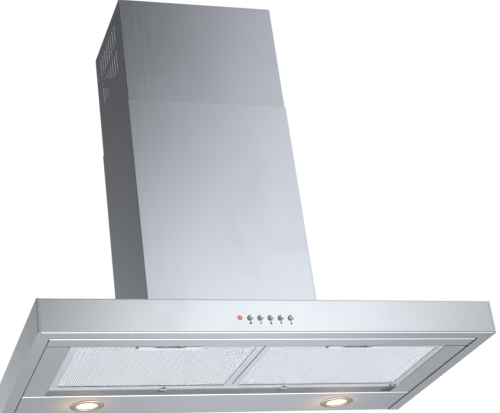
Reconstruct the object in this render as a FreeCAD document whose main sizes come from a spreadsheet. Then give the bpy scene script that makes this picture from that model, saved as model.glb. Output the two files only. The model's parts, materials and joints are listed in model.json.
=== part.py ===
import FreeCAD, Part
import math
import os
import Sketcher

# Wall-mounted box chimney hood
# The part's origin is the centre of its four wall bolts, on the wall. X runs to the right as the
# cook sees it, Y into the wall and Z up. Pieces are drawn with Z counted from the canopy's underside
# and then lowered by the height of the wall bolts.

DOC = FreeCAD.newDocument("ChimneyHood")
SHEET = DOC.addObject("Spreadsheet::Sheet", "Sizes")

# Driving dimensions in millimetres, by the piece that carries them
SIZES = {
    # Canopy shell and fascia
    "canopy_wide": 900,
    "canopy_deep": 480,
    "canopy_high": 66,
    "sheet": 1.0,
    "bend_radius": 2.5,
    "rim_side": 25,
    "rim_front": 33,
    "rim_lip": 12,
    "corner_wrap": 5,
    "fascia_flange": 12,
    "rear_flange": 14,
    "inlet_wide": 290,
    "inlet_deep": 200,
    "inlet_rear": 20,
    # Underside panels
    "panel_up": 1.0,
    "strip_gap": 4,
    "strip_deep": 39,
    "side_gap": 2.4,
    "hook_reach": 3,
    "side_panel_wide": 44.6,
    "panel_joint": 3,
    "lamp_panel_deep": 120,
    "ledge_deep": 41,
    "ledge_over": 7,
    "lug_apart": 250,
    "lug_wide": 14,
    "lug_deep": 9,
    "lug_high": 2,
    "lug_slot": 4,
    # Filter cassettes
    "filter_up": 2,
    "filter_high": 9,
    "filter_front_gap": 2,
    "filter_rear_gap": 8,
    "filter_side_gap": 1,
    "filter_sheet": 1.0,
    "filter_border": 15,
    "filter_end_border": 7,
    "mesh_sheet": 1.0,
    "mesh_hole": 8,
    "mesh_edge": 6,
    "pleat_rise": 4.3,
    "pleat_sheet": 0.8,
    "tongue_wide": 14,
    "tongue_apart": 200,
    "tongue_bite": 12,
    "tongue_sheet": 1.0,
    # Filter latches
    "latch_wide": 130,
    "latch_deep": 15,
    "latch_sheet": 1.2,
    "latch_recess_wide": 62,
    "latch_recess_deep": 5,
    "latch_taper": 7,
    "latch_block_wide": 40,
    "latch_block_deep": 5,
    "latch_block_high": 7,
    "latch_nose_wide": 20,
    "latch_nose_high": 2,
    "latch_travel": 3.5,
    "latch_side_gap": 2,
    "latch_wall": 1.0,
    "spring_long": 5.4,
    "spring_radius": 2,
    "spring_wire": 0.6,
    # Lamps
    "lamp_side": 172,
    "lamp_rear": 58,
    "bezel_radius": 36,
    "bezel_high": 2.5,
    "bezel_edge": 0.8,
    "bezel_slope": 3,
    "bezel_inner_slope": 2.5,
    "bezel_inner": 25,
    "bezel_seat": 1.3,
    "bezel_seat_high": 1.5,
    "bezel_neck": 30,
    "bezel_neck_high": 8,
    "lens_high": 2,
    "lens_crown": 1.0,
    "reflector_sheet": 1.0,
    "reflector_mouth": 22,
    "reflector_throat": 6.5,
    "reflector_high": 15,
    "capsule_radius": 4.5,
    "capsule_high": 14,
    "capsule_base_radius": 8,
    "capsule_base_high": 5,
    "can_radius": 34,
    "can_high": 32,
    "can_sheet": 1.2,
    # Controls
    "control_up": 29,
    "control_shift": 12,
    "button_pitch": 20,
    "button_radius": 5.5,
    "button_out": 2,
    "button_crown": 2.5,
    "button_flange": 1.3,
    "button_flange_high": 1.5,
    "button_stem": 2.5,
    "button_stem_long": 12,
    "button_travel": 3,
    "indicator_radius": 4.5,
    "indicator_out": 0.4,
    "indicator_crown": 0.8,
    "switch_back": 8,
    "switch_deep": 22,
    "switch_high": 22,
    "switch_end": 14,
    "switch_leg": 3,
    # Blower box and wall fixing
    "box_wide": 320,
    "box_deep": 240,
    "box_high": 270,
    "box_flange": 11,
    "bolt_wide": 260,
    "bolt_rise": 180,
    "bolt_low": 50,
    "bolt_radius": 4,
    # Blower
    "scroll_wall": 2,
    "scroll_deep": 100,
    "scroll_under": 10,
    "scroll_small": 84,
    "scroll_middle": 96,
    "scroll_large": 108,
    "scroll_inlet": 60,
    "wheel_radius": 76,
    "wheel_inner": 63,
    "wheel_side_gap": 5,
    "wheel_ring": 5,
    "wheel_ring_high": 3,
    "wheel_disc": 1.6,
    "wheel_hub": 14,
    "wheel_hub_high": 20,
    "blade_sheet": 1.0,
    "blade_sweep": 7,
    "shaft_radius": 4,
    "motor_radius": 42,
    "motor_front_gap": 13,
    "motor_bore": 22,
    "bracket_ring": 12,
    "bracket_sheet": 3,
    "bracket_arm": 12,
    "bracket_hub": 26,
    "capacitor_radius": 15,
    "capacitor_high": 55,
    "capacitor_up": 110,
    "transformer_wide": 36,
    "transformer_deep": 60,
    "transformer_high": 44,
    "transformer_up": 30,
    "terminal_wide": 62,
    "terminal_deep": 44,
    "terminal_high": 34,
    "terminal_side": 6,
    "terminal_rear": 10,
    "gland_radius": 9,
    "gland_bore": 4.5,
    "gland_high": 14,
    # Outlet collar and flaps
    "collar_radius": 75,
    "collar_wall": 2,
    "collar_high": 55,
    "collar_plate": 172,
    "collar_plate_high": 2,
    "collar_stop": 4,
    "collar_stop_high": 2,
    "pin_up": 14,
    "pin_radius": 2,
    "flap_sheet": 1.2,
    "flap_edge_gap": 3,
    "knuckle_radius": 4,
    "knuckle_long": 25,
    "knuckle_step": 31,
    # Chimney
    "cover_wide": 366,
    "cover_deep": 258,
    "cover_top": 625,
    "cover_gap": 0.8,
    "upper_top": 889,
    "upper_long": 500,
    "upper_return": 10,
    "vent_wide": 6,
    "vent_high": 53,
    "vent_front": 60,
    "vent_pitch": 20.5,
    "vent_top": 29,
    "vent_row": 67,
    "screw_down": 63,
    "screw_rear": 14,
    "screw_radius": 1.9,
    "screw_head": 4.5,
    "screw_head_high": 0.5,
    "wall_plate_high": 30,
    "wall_plate_sheet": 2,
    "wall_plate_short": 4,
    "wall_ear_deep": 40,
    "wall_ear_sheet": 1.5,
    "wall_bolt_wide": 240,
    "wall_bolt_radius": 3.5,
    # Clearances and the overrun of every cut
    "seat": 0.3,
    "running_fit": 0.05,
    "overrun": 2,
}

# Counts of repeated features
COUNTS = {
    "vent_count": 8,
    "blade_count": 30,
    "mesh_columns": 19,
    "mesh_rows": 13,
    "pleat_count": 28,
    "button_count": 5,
}


class Length:
    """A length: the formula that the document keeps, and its value here in millimetres."""

    def __init__(self, formula, value):
        self.formula = formula
        self.value = value

    def __add__(self, other):
        other = length_of(other)
        return Length(f"({self.formula} + {other.formula})", self.value + other.value)

    def __sub__(self, other):
        other = length_of(other)
        return Length(f"({self.formula} - {other.formula})", self.value - other.value)

    def __mul__(self, factor):
        return Length(f"{self.formula} * ({factor})", self.value * factor)

    def __truediv__(self, divisor):
        return Length(f"{self.formula} / ({divisor})", self.value / divisor)

    def __neg__(self):
        return Length(f"(-{self.formula})", -self.value)

    __rmul__ = __mul__


def length_of(value):
    """The value as a Length. Only a bare zero comes in as a number."""
    return value if isinstance(value, Length) else Length("0", 0.0)


class Sizes:
    """The driving dimensions, each read by its name as a Length bound to the spreadsheet."""


def fill_sheet():
    """Writes every driving dimension and count to the spreadsheet, with its name as the alias."""
    for row, (name, value) in enumerate({**SIZES, **COUNTS}.items(), start=1):
        SHEET.set(f"A{row}", name)
        SHEET.set(f"B{row}", str(value))
        SHEET.setAlias(f"B{row}", name)
        setattr(Sizes, name, Length(f"Sizes.{name}", float(value)))
    DOC.recompute()


fill_sheet()
S = Sizes

# Places that several pieces share
HALF = S.canopy_wide / 2
FRONT = -S.canopy_deep
ROOF = S.canopy_high
FASCIA_HALF = HALF - S.corner_wrap - S.seat
RIM_HALF = HALF - S.rim_side
PANEL_HALF = RIM_HALF - S.side_gap
PANEL_TOP = S.panel_up + S.sheet
BAY_HALF = PANEL_HALF - S.side_panel_wide
STRIP_FRONT = FRONT + S.rim_front + S.strip_gap
STRIP_REAR = STRIP_FRONT + S.strip_deep
LAMP_FRONT = -S.lamp_panel_deep
LAMP_HALF = HALF - S.lamp_side
LEDGE_TOP = S.rim_lip + S.sheet
LEDGE_FRONT = LAMP_FRONT - S.ledge_deep
FILTER_FRONT = STRIP_REAR + S.filter_front_gap
FILTER_REAR = LEDGE_FRONT - S.filter_rear_gap
FILTER_TOP = S.filter_up + S.filter_high
FILTER_HALF = (BAY_HALF - S.filter_side_gap * 2) / 2
FILTER_MIDDLE = BAY_HALF / 2
SWITCH_FRONT = FRONT + S.sheet + S.switch_back
BOX_TOP = ROOF + S.box_high
DUCT_Y = -S.box_deep / 2
SCROLL_FRONT = DUCT_Y - S.scroll_deep / 2
MOTOR_REAR = SCROLL_FRONT - S.bracket_sheet * 2
MOTOR_FRONT = S.sheet - S.box_deep + S.motor_front_gap
AXIS_Z = ROOF + S.scroll_under + S.scroll_middle
SCROLL_X = S.scroll_small - S.scroll_middle - S.scroll_large / 2
UPPER_HALF = S.cover_wide / 2 - S.sheet - S.cover_gap
UPPER_FRONT = -(S.cover_deep - S.sheet - S.cover_gap)
UPPER_FOOT = S.upper_top - S.upper_long
BOLT_MIDDLE = ROOF + S.bolt_low + S.bolt_rise / 2
PIN_Z = BOX_TOP + S.collar_plate_high + S.pin_up

PIECES = []


# Sketches and features

def bind(thing, path, length):
    """Ties a property or a constraint to a length's formula."""
    if length.formula != "0":
        thing.setExpression(path, length.formula)


def origin_part(body, role):
    """One of a body's origin planes or axes, found by its role."""
    return [part for part in body.Origin.OriginFeatures if part.Role == role][0]


def arc_shape(start, end, radius, turn):
    """An arc under half a turn from start to end; turn is 1 when it runs counterclockwise."""
    chord = end - start
    middle = (start + end) / 2
    rise = math.sqrt(max(radius**2 - (chord.Length / 2) ** 2, 0.0))
    left = FreeCAD.Vector(-chord.y, chord.x, 0).normalize()
    centre = middle + left * rise * turn
    first, last = (start, end) if turn > 0 else (end, start)
    angles = [math.atan2(p.y - centre.y, p.x - centre.x) for p in (first, last)]
    circle = Part.Circle(centre, FreeCAD.Vector(0, 0, 1), radius)
    return Part.ArcOfCircle(circle, angles[0], angles[1] + (math.tau if angles[1] < angles[0] else 0))


def add_outline(sketch, outline):
    """Draws a closed outline. A vertex is (across, up), or (across, up, radius, turn) before an arc."""
    points = [FreeCAD.Vector(v[0].value, v[1].value, 0) for v in outline]
    first = sketch.GeometryCount
    ends = []
    for index, vertex in enumerate(outline):
        start = points[index]
        end = points[(index + 1) % len(points)]
        if len(vertex) == 2:
            sketch.addGeometry(Part.LineSegment(start, end))
            ends.append((1, 2))
        else:
            sketch.addGeometry(arc_shape(start, end, vertex[2].value, vertex[3]))
            ends.append((1, 2) if vertex[3] > 0 else (2, 1))
    for index, vertex in enumerate(outline):
        here = first + index
        after = (index + 1) % len(outline)
        sketch.addConstraint(
            Sketcher.Constraint("Coincident", here, ends[index][1], first + after, ends[after][0])
        )
        for kind, length in (("DistanceX", vertex[0]), ("DistanceY", vertex[1])):
            number = sketch.addConstraint(
                Sketcher.Constraint(kind, -1, 1, here, ends[index][0], length.value)
            )
            bind(sketch, f"Constraints[{number}]", length)
        if len(vertex) > 2:
            number = sketch.addConstraint(Sketcher.Constraint("Radius", here, vertex[2].value))
            bind(sketch, f"Constraints[{number}]", vertex[2])


def add_circle(sketch, circle):
    """Draws a circle given as (across, up, radius)."""
    centre = FreeCAD.Vector(circle[0].value, circle[1].value, 0)
    index = sketch.addGeometry(Part.Circle(centre, FreeCAD.Vector(0, 0, 1), circle[2].value))
    for kind, length in (("DistanceX", circle[0]), ("DistanceY", circle[1])):
        number = sketch.addConstraint(Sketcher.Constraint(kind, -1, 1, index, 3, length.value))
        bind(sketch, f"Constraints[{number}]", length)
    number = sketch.addConstraint(Sketcher.Constraint("Radius", index, circle[2].value))
    bind(sketch, f"Constraints[{number}]", circle[2])


def add_sketch(body, plane, place, outlines, circles=()):
    """Adds a sketch on an origin plane of the body, moved along the plane's axis to place."""
    sketch = body.newObject("Sketcher::SketchObject", f"{body.Label}_sketch")
    sketch.AttachmentSupport = [(origin_part(body, f"{plane}_Plane"), "")]
    sketch.MapMode = "FlatFace"
    offset = -place if plane == "XZ" else place
    sketch.AttachmentOffset = FreeCAD.Placement(
        FreeCAD.Vector(0, 0, offset.value), FreeCAD.Rotation()
    )
    bind(sketch, "AttachmentOffset.Base.z", offset)
    for outline in outlines:
        add_outline(sketch, [(length_of(v[0]), length_of(v[1]), *v[2:]) for v in outline])
    for circle in circles:
        add_circle(sketch, tuple(length_of(value) for value in circle))
    return sketch


def pad(body, plane, low, high, outlines, circles=()):
    """Fills the outlines from low to high along the axis square to the plane."""
    low = length_of(low)
    high = length_of(high)
    feature_sketch = add_sketch(body, plane, high if plane == "XZ" else low, outlines, circles)
    feature = body.newObject("PartDesign::Pad", f"{body.Label}_pad")
    feature.Profile = feature_sketch
    bind(feature, "Length", high - low)
    return feature


def pocket(body, plane, low, high, outlines, circles=()):
    """Cuts the outlines away from low to high along the axis square to the plane."""
    low = length_of(low)
    high = length_of(high)
    feature_sketch = add_sketch(body, plane, low if plane == "XZ" else high, outlines, circles)
    feature = body.newObject("PartDesign::Pocket", f"{body.Label}_pocket")
    feature.Profile = feature_sketch
    bind(feature, "Length", high - low)
    return feature


def turned(body, outline):
    """Turns an outline of (radius, height) once round the body's own Z axis."""
    profile = add_sketch(body, "XZ", length_of(0), [outline])
    feature = body.newObject("PartDesign::Revolution", f"{body.Label}_turned")
    feature.Profile = profile
    feature.ReferenceAxis = (origin_part(body, "Z_Axis"), [""])
    feature.Angle = 360
    return feature


def new_body(name):
    """A new body whose label is the piece's name."""
    body = DOC.addObject("PartDesign::Body", name)
    body.Label = name
    return body


def place(piece, across=0, depth=0, up=0, rotation=FreeCAD.Rotation()):
    """Puts a piece at its place, with up counted from the canopy's underside, and keeps it."""
    spot = [length_of(across), length_of(depth), length_of(up) - BOLT_MIDDLE]
    piece.Placement = FreeCAD.Placement(FreeCAD.Vector(*[s.value for s in spot]), rotation)
    for axis, length in zip("xyz", spot):
        bind(piece, f".Placement.Base.{axis}", length)
    PIECES.append(piece)
    return piece


def rectangle(left, low, right, high):
    """The outline of an upright rectangle."""
    return [(left, low), (right, low), (right, high), (left, high)]


def upright_slot(left, low, right, high):
    """The outline of an upright slot with round ends."""
    radius = (right - left) / 2
    middle = left + radius
    return [
        (left, low + radius, radius, 1),
        (middle, low, radius, 1),
        (right, low + radius),
        (right, high - radius, radius, 1),
        (middle, high, radius, 1),
        (left, high - radius),
    ]


def block(name, left, right, front, rear, low, high):
    """A plain box-shaped piece between its six faces."""
    box = DOC.addObject("Part::Box", name)
    box.Label = name
    bind(box, "Length", right - left)
    bind(box, "Width", rear - front)
    bind(box, "Height", high - low)
    return place(box, left, front, low)


# Canopy

def mitre(depth, outer, inner):
    """How far out the mitred corner of the rim lies at a depth behind the fascia's face."""
    share = depth.value / S.rim_front.value
    return Length(
        f"({outer.formula} - ({outer.formula} - {inner.formula})"
        f" * {depth.formula} / {S.rim_front.formula})",
        outer.value - (outer.value - inner.value) * share,
    )


def mirrored(outline):
    """The outline on the other side of X = 0, run the other way round so that arcs still fit."""
    flipped = []
    count = len(outline)
    for index in range(count):
        vertex = outline[-index % count]
        before = outline[(-index - 1) % count]
        flipped.append((-length_of(vertex[0]), vertex[1], *before[2:]))
    return flipped


def both_sides(outline):
    """The outline and its mirror image."""
    return [outline, mirrored(outline)]


def make_canopy_shell():
    """Top sheet, sides folded round the front corners, side rims with lips, and rear wall."""
    body = new_body("canopy_shell")
    bend = S.bend_radius
    inner_bend = S.bend_radius - S.sheet
    notch = FRONT + S.fascia_flange + S.seat
    wrap = HALF - S.corner_wrap
    pad(body, "XY", ROOF - S.sheet, ROOF, [[
        (-HALF, 0),
        (-HALF, FRONT + bend, bend, 1),
        (bend - HALF, FRONT),
        (-wrap, FRONT),
        (-wrap, notch),
        (wrap, notch),
        (wrap, FRONT),
        (HALF - bend, FRONT, bend, 1),
        (HALF, FRONT + bend),
        (HALF, 0),
    ]])
    side = [
        (HALF, 0),
        (HALF - S.sheet, 0),
        (HALF - S.sheet, FRONT + bend, inner_bend, -1),
        (HALF - bend, FRONT + S.sheet),
        (wrap, FRONT + S.sheet),
        (wrap, FRONT),
        (HALF - bend, FRONT, bend, 1),
        (HALF, FRONT + bend),
    ]
    pad(body, "XY", 0, ROOF - S.sheet, both_sides(side))
    rim = [
        (HALF - S.sheet, 0),
        (RIM_HALF, 0),
        (RIM_HALF, FRONT + S.rim_front),
        (mitre(S.sheet, wrap, RIM_HALF), FRONT + S.sheet),
        (HALF - S.sheet, FRONT + S.sheet),
    ]
    pad(body, "XY", 0, S.sheet, both_sides(rim))
    lip = rectangle(RIM_HALF, FRONT + S.rim_front, RIM_HALF + S.sheet, 0)
    pad(body, "XY", S.sheet, S.rim_lip, both_sides(lip))
    pad(body, "XY", S.sheet, ROOF - S.sheet, [rectangle(S.sheet - HALF, -S.sheet, HALF - S.sheet, 0)])
    pad(body, "XY", PANEL_TOP, PANEL_TOP + S.sheet,
        [rectangle(-PANEL_HALF, -S.rear_flange, PANEL_HALF, -S.sheet)])
    pocket(body, "XY", ROOF - S.sheet - S.overrun, ROOF + S.overrun, [rectangle(
        -S.inlet_wide / 2, -S.inlet_rear - S.inlet_deep, S.inlet_wide / 2, -S.inlet_rear)])
    return place(body)


def control_places():
    """The X of each control on the fascia, the indicator first and the light button last."""
    count = COUNTS["button_count"]
    first = -S.button_pitch * (count + 1) / 2 - S.control_shift
    return [first + S.button_pitch * step for step in range(count + 1)]


def make_fascia():
    """Front sheet with a flange on top, a rounded bend below and the mitred front rim."""
    body = new_body("fascia")
    sheet = S.sheet
    bend = S.bend_radius
    inner = S.bend_radius - S.sheet
    rear = FRONT + S.rim_front
    profile = [
        (rear, S.rim_lip),
        (rear - sheet, S.rim_lip),
        (rear - sheet, bend, inner, -1),
        (rear - bend, sheet),
        (FRONT + bend, sheet, inner, -1),
        (FRONT + sheet, bend),
        (FRONT + sheet, ROOF - bend, inner, -1),
        (FRONT + bend, ROOF - sheet),
        (FRONT + S.fascia_flange, ROOF - sheet),
        (FRONT + S.fascia_flange, ROOF),
        (FRONT + bend, ROOF, bend, 1),
        (FRONT, ROOF - bend),
        (FRONT, bend, bend, 1),
        (FRONT + bend, 0),
        (rear - bend, 0, bend, 1),
        (rear, bend),
    ]
    pad(body, "YZ", -FASCIA_HALF, FASCIA_HALF, [profile])
    rim_end = RIM_HALF - S.seat
    reach = S.rim_front + S.sheet
    corner = [
        (mitre(S.sheet, FASCIA_HALF, rim_end), FRONT + S.sheet),
        (FASCIA_HALF + S.overrun, FRONT + S.sheet),
        (FASCIA_HALF + S.overrun, FRONT + reach),
        (mitre(reach, FASCIA_HALF, rim_end), FRONT + reach),
    ]
    pocket(body, "XY", -S.overrun, S.rim_lip + S.overrun, both_sides(corner))
    places = control_places()
    holes = [(places[0], S.control_up, S.indicator_radius + S.seat)]
    holes += [(across, S.control_up, S.button_radius + S.seat) for across in places[1:]]
    pocket(body, "XZ", FRONT - S.overrun, FRONT + sheet + S.overrun, [], holes)
    return place(body)


def make_front_strip():
    """Underside strip behind the fascia, with bent-up edges, hooked over the front rim's lip."""
    body = new_body("front_strip")
    low = S.panel_up
    top = LEDGE_TOP
    sheet = S.sheet
    bend = S.bend_radius
    inner = S.bend_radius - S.sheet
    hook = FRONT + S.rim_front - sheet - S.hook_reach
    profile = [
        (hook, S.rim_lip),
        (STRIP_FRONT, S.rim_lip),
        (STRIP_FRONT, low + bend, bend, 1),
        (STRIP_FRONT + bend, low),
        (STRIP_REAR - bend, low, bend, 1),
        (STRIP_REAR, low + bend),
        (STRIP_REAR, top),
        (STRIP_REAR - sheet, top),
        (STRIP_REAR - sheet, low + bend, inner, -1),
        (STRIP_REAR - bend, PANEL_TOP),
        (STRIP_FRONT + bend, PANEL_TOP, inner, -1),
        (STRIP_FRONT + sheet, low + bend),
        (STRIP_FRONT + sheet, top),
        (hook, top),
    ]
    pad(body, "YZ", -PANEL_HALF, PANEL_HALF, [profile])
    return place(body)


def make_side_panel(name, side):
    """Underside panel beside the filters, hooked over the side rim's lip, with a front lip."""
    body = new_body(name)
    low = S.panel_up
    sheet = S.sheet
    bay = BAY_HALF
    hook = RIM_HALF + sheet + S.hook_reach
    profile = [
        (bay, low),
        (PANEL_HALF, low),
        (PANEL_HALF, S.rim_lip),
        (hook, S.rim_lip),
        (hook, LEDGE_TOP),
        (PANEL_HALF - sheet, LEDGE_TOP),
        (PANEL_HALF - sheet, PANEL_TOP),
        (bay + sheet, PANEL_TOP),
        (bay + sheet, S.rim_lip),
        (bay, S.rim_lip),
    ]
    front = STRIP_REAR + S.panel_joint
    lip = rectangle(bay, front, PANEL_HALF, front + sheet)
    if side < 0:
        profile = mirrored(profile)
        lip = mirrored(lip)
    pad(body, "XZ", front, LAMP_FRONT - S.seat, [profile])
    pad(body, "XY", low, S.rim_lip, [lip])
    return place(body)


def make_lamp_panel():
    """Rear underside panel with a bent-up front lip and the two lamp holes."""
    body = new_body("lamp_panel")
    low = S.panel_up
    sheet = S.sheet
    bend = S.bend_radius
    inner = S.bend_radius - S.sheet
    rear = -sheet - S.seat
    profile = [
        (LAMP_FRONT, low + bend, bend, 1),
        (LAMP_FRONT + bend, low),
        (rear, low),
        (rear, PANEL_TOP),
        (LAMP_FRONT + bend, PANEL_TOP, inner, -1),
        (LAMP_FRONT + sheet, low + bend),
        (LAMP_FRONT + sheet, S.rim_lip),
        (LAMP_FRONT, S.rim_lip),
    ]
    pad(body, "YZ", -PANEL_HALF, PANEL_HALF, [profile])
    radius = S.bezel_neck + S.seat
    pocket(body, "XY", low - S.overrun, PANEL_TOP + S.overrun, [],
           [(-LAMP_HALF, -S.lamp_rear, radius), (LAMP_HALF, -S.lamp_rear, radius)])
    return place(body)


def make_filter_ledge():
    """Roof of the recessed channel behind the filters, which carries their tongues."""
    body = new_body("filter_ledge")
    half = BAY_HALF + S.ledge_over
    pad(body, "XY", S.rim_lip, LEDGE_TOP, [rectangle(-half, LEDGE_FRONT, half, LAMP_FRONT + S.sheet)])
    near = S.lug_apart / 2
    rear = LAMP_FRONT - S.lug_deep / 2
    lug = rectangle(near, rear - S.lug_deep, near + S.lug_wide, rear)
    pad(body, "XY", S.rim_lip - S.lug_high, S.rim_lip, both_sides(lug))
    slot_front = rear - S.lug_deep * 2
    slot = rectangle(near + S.lug_slot, slot_front, near + S.lug_slot * 2, rear - S.lug_deep)
    pocket(body, "XY", S.rim_lip - S.overrun, LEDGE_TOP + S.overrun, both_sides(slot))
    return place(body)


# Grease filters

def filter_latch_room():
    """Half the width and the rear face of the cut-out that the latch block slides in."""
    half = S.latch_block_wide / 2 + S.latch_side_gap
    block_rear = FILTER_FRONT + S.latch_wall + S.latch_block_deep
    return half, block_rear + S.latch_travel + S.spring_long + S.seat * 2


def make_filter_frame(name, side):
    """Folded cassette frame, open inwards, with a latch cut-out and two rear tongues."""
    body = new_body(name)
    half = FILTER_HALF
    skin = S.filter_sheet
    low = S.filter_up
    pad(body, "XY", low, FILTER_TOP, [rectangle(-half, FILTER_FRONT, half, FILTER_REAR)])
    window = half - S.filter_border
    front = FILTER_FRONT + S.filter_end_border
    rear = FILTER_REAR - S.filter_end_border
    pocket(body, "XY", low - S.overrun, FILTER_TOP + S.overrun, [rectangle(-window, front, window, rear)])
    cavity = half - skin
    pocket(body, "XY", low + skin, FILTER_TOP - skin,
           [rectangle(-cavity, FILTER_FRONT + skin, cavity, FILTER_REAR - skin)])
    room, room_rear = filter_latch_room()
    wall = room + S.latch_wall
    pad(body, "XY", low, FILTER_TOP, [rectangle(-wall, FILTER_FRONT, wall, room_rear + S.latch_wall)])
    pocket(body, "XY", low - S.overrun, FILTER_TOP + S.overrun,
           [rectangle(-room, FILTER_FRONT - S.overrun, room, room_rear)])
    tongue_low = LEDGE_TOP + S.seat
    near = (S.tongue_apart - S.tongue_wide) / 2
    far = near + S.tongue_wide
    upright = rectangle(near, FILTER_REAR - skin, far, FILTER_REAR)
    pad(body, "XY", FILTER_TOP - skin, tongue_low + S.tongue_sheet, both_sides(upright))
    tongue = rectangle(near, FILTER_REAR - skin, far, LEDGE_FRONT + S.tongue_bite)
    pad(body, "XY", tongue_low, tongue_low + S.tongue_sheet, both_sides(tongue))
    return place(body, FILTER_MIDDLE * side)


def sheet_in_frame(clearance):
    """The outline of a sheet that lies inside the cassette frame, round the latch cut-out."""
    half = FILTER_HALF - S.filter_sheet - clearance
    room, room_rear = filter_latch_room()
    wall = room + S.latch_wall + clearance
    front = FILTER_FRONT + S.filter_sheet + clearance
    rear = FILTER_REAR - S.filter_sheet - clearance
    back = room_rear + S.latch_wall + clearance
    return [(-half, front), (-wall, front), (-wall, back), (wall, back), (wall, front),
            (half, front), (half, rear), (-half, rear)]


def make_filter_mesh(name, side):
    """Perforated face sheet of a cassette: one holed face, thickened."""
    outline = [FreeCAD.Vector(a.value, b.value, 0) for a, b in sheet_in_frame(S.seat)]
    face_wires = [Part.makePolygon(outline + outline[:1])]
    window = (FILTER_HALF - S.filter_border - S.mesh_edge).value
    room_rear = filter_latch_room()[1]
    front = (room_rear + S.latch_wall + S.seat + S.mesh_edge).value
    rear = (FILTER_REAR - S.filter_end_border - S.mesh_edge).value
    radius = S.mesh_hole.value / 2
    columns = COUNTS["mesh_columns"]
    rows = COUNTS["mesh_rows"]
    for column in range(columns):
        for row in range(rows):
            across = -window + 2 * window * column / (columns - 1)
            depth = front + (rear - front) * row / (rows - 1)
            circle = Part.Circle(FreeCAD.Vector(across, depth, 0), FreeCAD.Vector(0, 0, 1), radius)
            face_wires.append(Part.Wire(circle.toShape()))
    face = Part.Face(face_wires, "Part::FaceMakerBullseye")
    piece = DOC.addObject("Part::Feature", name)
    piece.Label = name
    piece.Shape = face.extrude(FreeCAD.Vector(0, 0, S.mesh_sheet.value))
    return place(piece, FILTER_MIDDLE * side, 0, S.filter_up + S.filter_sheet + S.seat)


def make_filter_core(name, side):
    """Pleated grease screen inside a cassette: one pleat repeated across, cut out round the latch."""
    body = new_body(name)
    low = S.filter_up + S.filter_sheet + S.mesh_sheet + S.seat * 2
    left = S.filter_sheet + S.seat - FILTER_HALF
    pitch = -left * 2 / COUNTS["pleat_count"]
    sheet = S.pleat_sheet
    rear = FILTER_REAR - S.filter_sheet - S.seat
    pleat = pad(body, "XZ", FILTER_FRONT + S.filter_sheet + S.seat, rear, [[
        (left, low),
        (left + pitch / 2, low + S.pleat_rise),
        (left + pitch, low),
        (left + pitch, low + sheet),
        (left + pitch / 2, low + S.pleat_rise + sheet),
        (left, low + sheet),
    ]])
    pattern = body.newObject("PartDesign::LinearPattern", f"{name}_pleats")
    pattern.Originals = [pleat]
    pattern.Direction = (origin_part(body, "X_Axis"), [""])
    bind(pattern, "Length", pitch * (COUNTS["pleat_count"] - 1))
    pattern.setExpression("Occurrences", S.pleat_count.formula)
    body.Tip = pattern
    room, room_rear = filter_latch_room()
    wall = room + S.latch_wall + S.seat
    pocket(body, "XY", low - S.overrun, low + S.pleat_rise + sheet + S.overrun,
           [rectangle(-wall, FILTER_FRONT, wall, room_rear + S.latch_wall + S.seat)])
    return place(body, FILTER_MIDDLE * side)


def make_latch(name, side):
    """Sliding latch handle: a plate with a finger recess, its block and its nose."""
    body = new_body(name)
    front = FILTER_FRONT
    rear = front + S.latch_deep
    top = S.filter_up - S.seat
    half = S.latch_wide / 2
    recess = S.latch_recess_wide / 2
    deep = front + S.latch_recess_deep
    taper = S.latch_taper
    corner = S.latch_recess_deep
    pad(body, "XY", top - S.latch_sheet, top, [[
        (-half, front),
        (-recess, front, corner, -1),
        (corner - recess, deep),
        (recess - corner, deep, corner, -1),
        (recess, front),
        (half, front),
        (half - taper, rear),
        (taper - half, rear),
    ]])
    block_half = S.latch_block_wide / 2
    block_front = front + S.latch_wall
    nose_top = top + S.latch_block_high
    pad(body, "XY", top - S.latch_sheet, nose_top,
        [rectangle(-block_half, deep, block_half, block_front + S.latch_block_deep)])
    pad(body, "XY", nose_top - S.latch_nose_high, nose_top,
        [rectangle(-block_half, block_front, block_half, deep)])
    nose_half = S.latch_nose_wide / 2
    pad(body, "XY", nose_top - S.latch_nose_high, nose_top,
        [rectangle(-nose_half, STRIP_REAR + S.seat, nose_half, block_front)])
    return place(body, FILTER_MIDDLE * side)


def make_latch_spring(name, side):
    """Return spring behind a latch's block, a sleeve of its pressed length that rides with it."""
    body = new_body(name)
    front = FILTER_FRONT + S.latch_wall + S.latch_block_deep + S.seat
    pad(body, "XZ", front, front + S.spring_long, [],
        [(0, 0, S.spring_radius), (0, 0, S.spring_radius - S.spring_wire)])
    return place(body, FILTER_MIDDLE * side, 0, S.filter_up + S.filter_high / 2)


def crown_radius(radius, crown):
    """The radius of an arc that rises by crown over a half width of radius."""
    return Length(
        f"({radius.formula} * {radius.formula} + {crown.formula} * {crown.formula})"
        f" / ({crown.formula} * 2)",
        (radius.value**2 + crown.value**2) / (2 * crown.value),
    )


# Lamps

def lamp_place(body, side):
    """Puts a lamp piece on the lamp panel's lower face."""
    return place(body, LAMP_HALF * side, -S.lamp_rear, S.panel_up)


def make_bezel(name, side):
    """Sloping bezel ring with a neck through the panel and a step for the lens."""
    body = new_body(name)
    seat_radius = S.bezel_inner + S.bezel_seat
    low = -S.bezel_high
    turned(body, [
        (S.bezel_inner, -(S.bezel_high - S.bezel_seat_high)),
        (S.bezel_inner + S.bezel_inner_slope, low),
        (S.bezel_radius - S.bezel_slope, low),
        (S.bezel_radius, -S.bezel_edge),
        (S.bezel_radius, 0),
        (S.bezel_neck, 0),
        (S.bezel_neck, S.bezel_neck_high),
        (seat_radius, S.bezel_neck_high),
        (seat_radius, S.bezel_seat_high / 2),
        (S.bezel_inner, S.bezel_seat_high / 2),
    ])
    return lamp_place(body, side)


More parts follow.
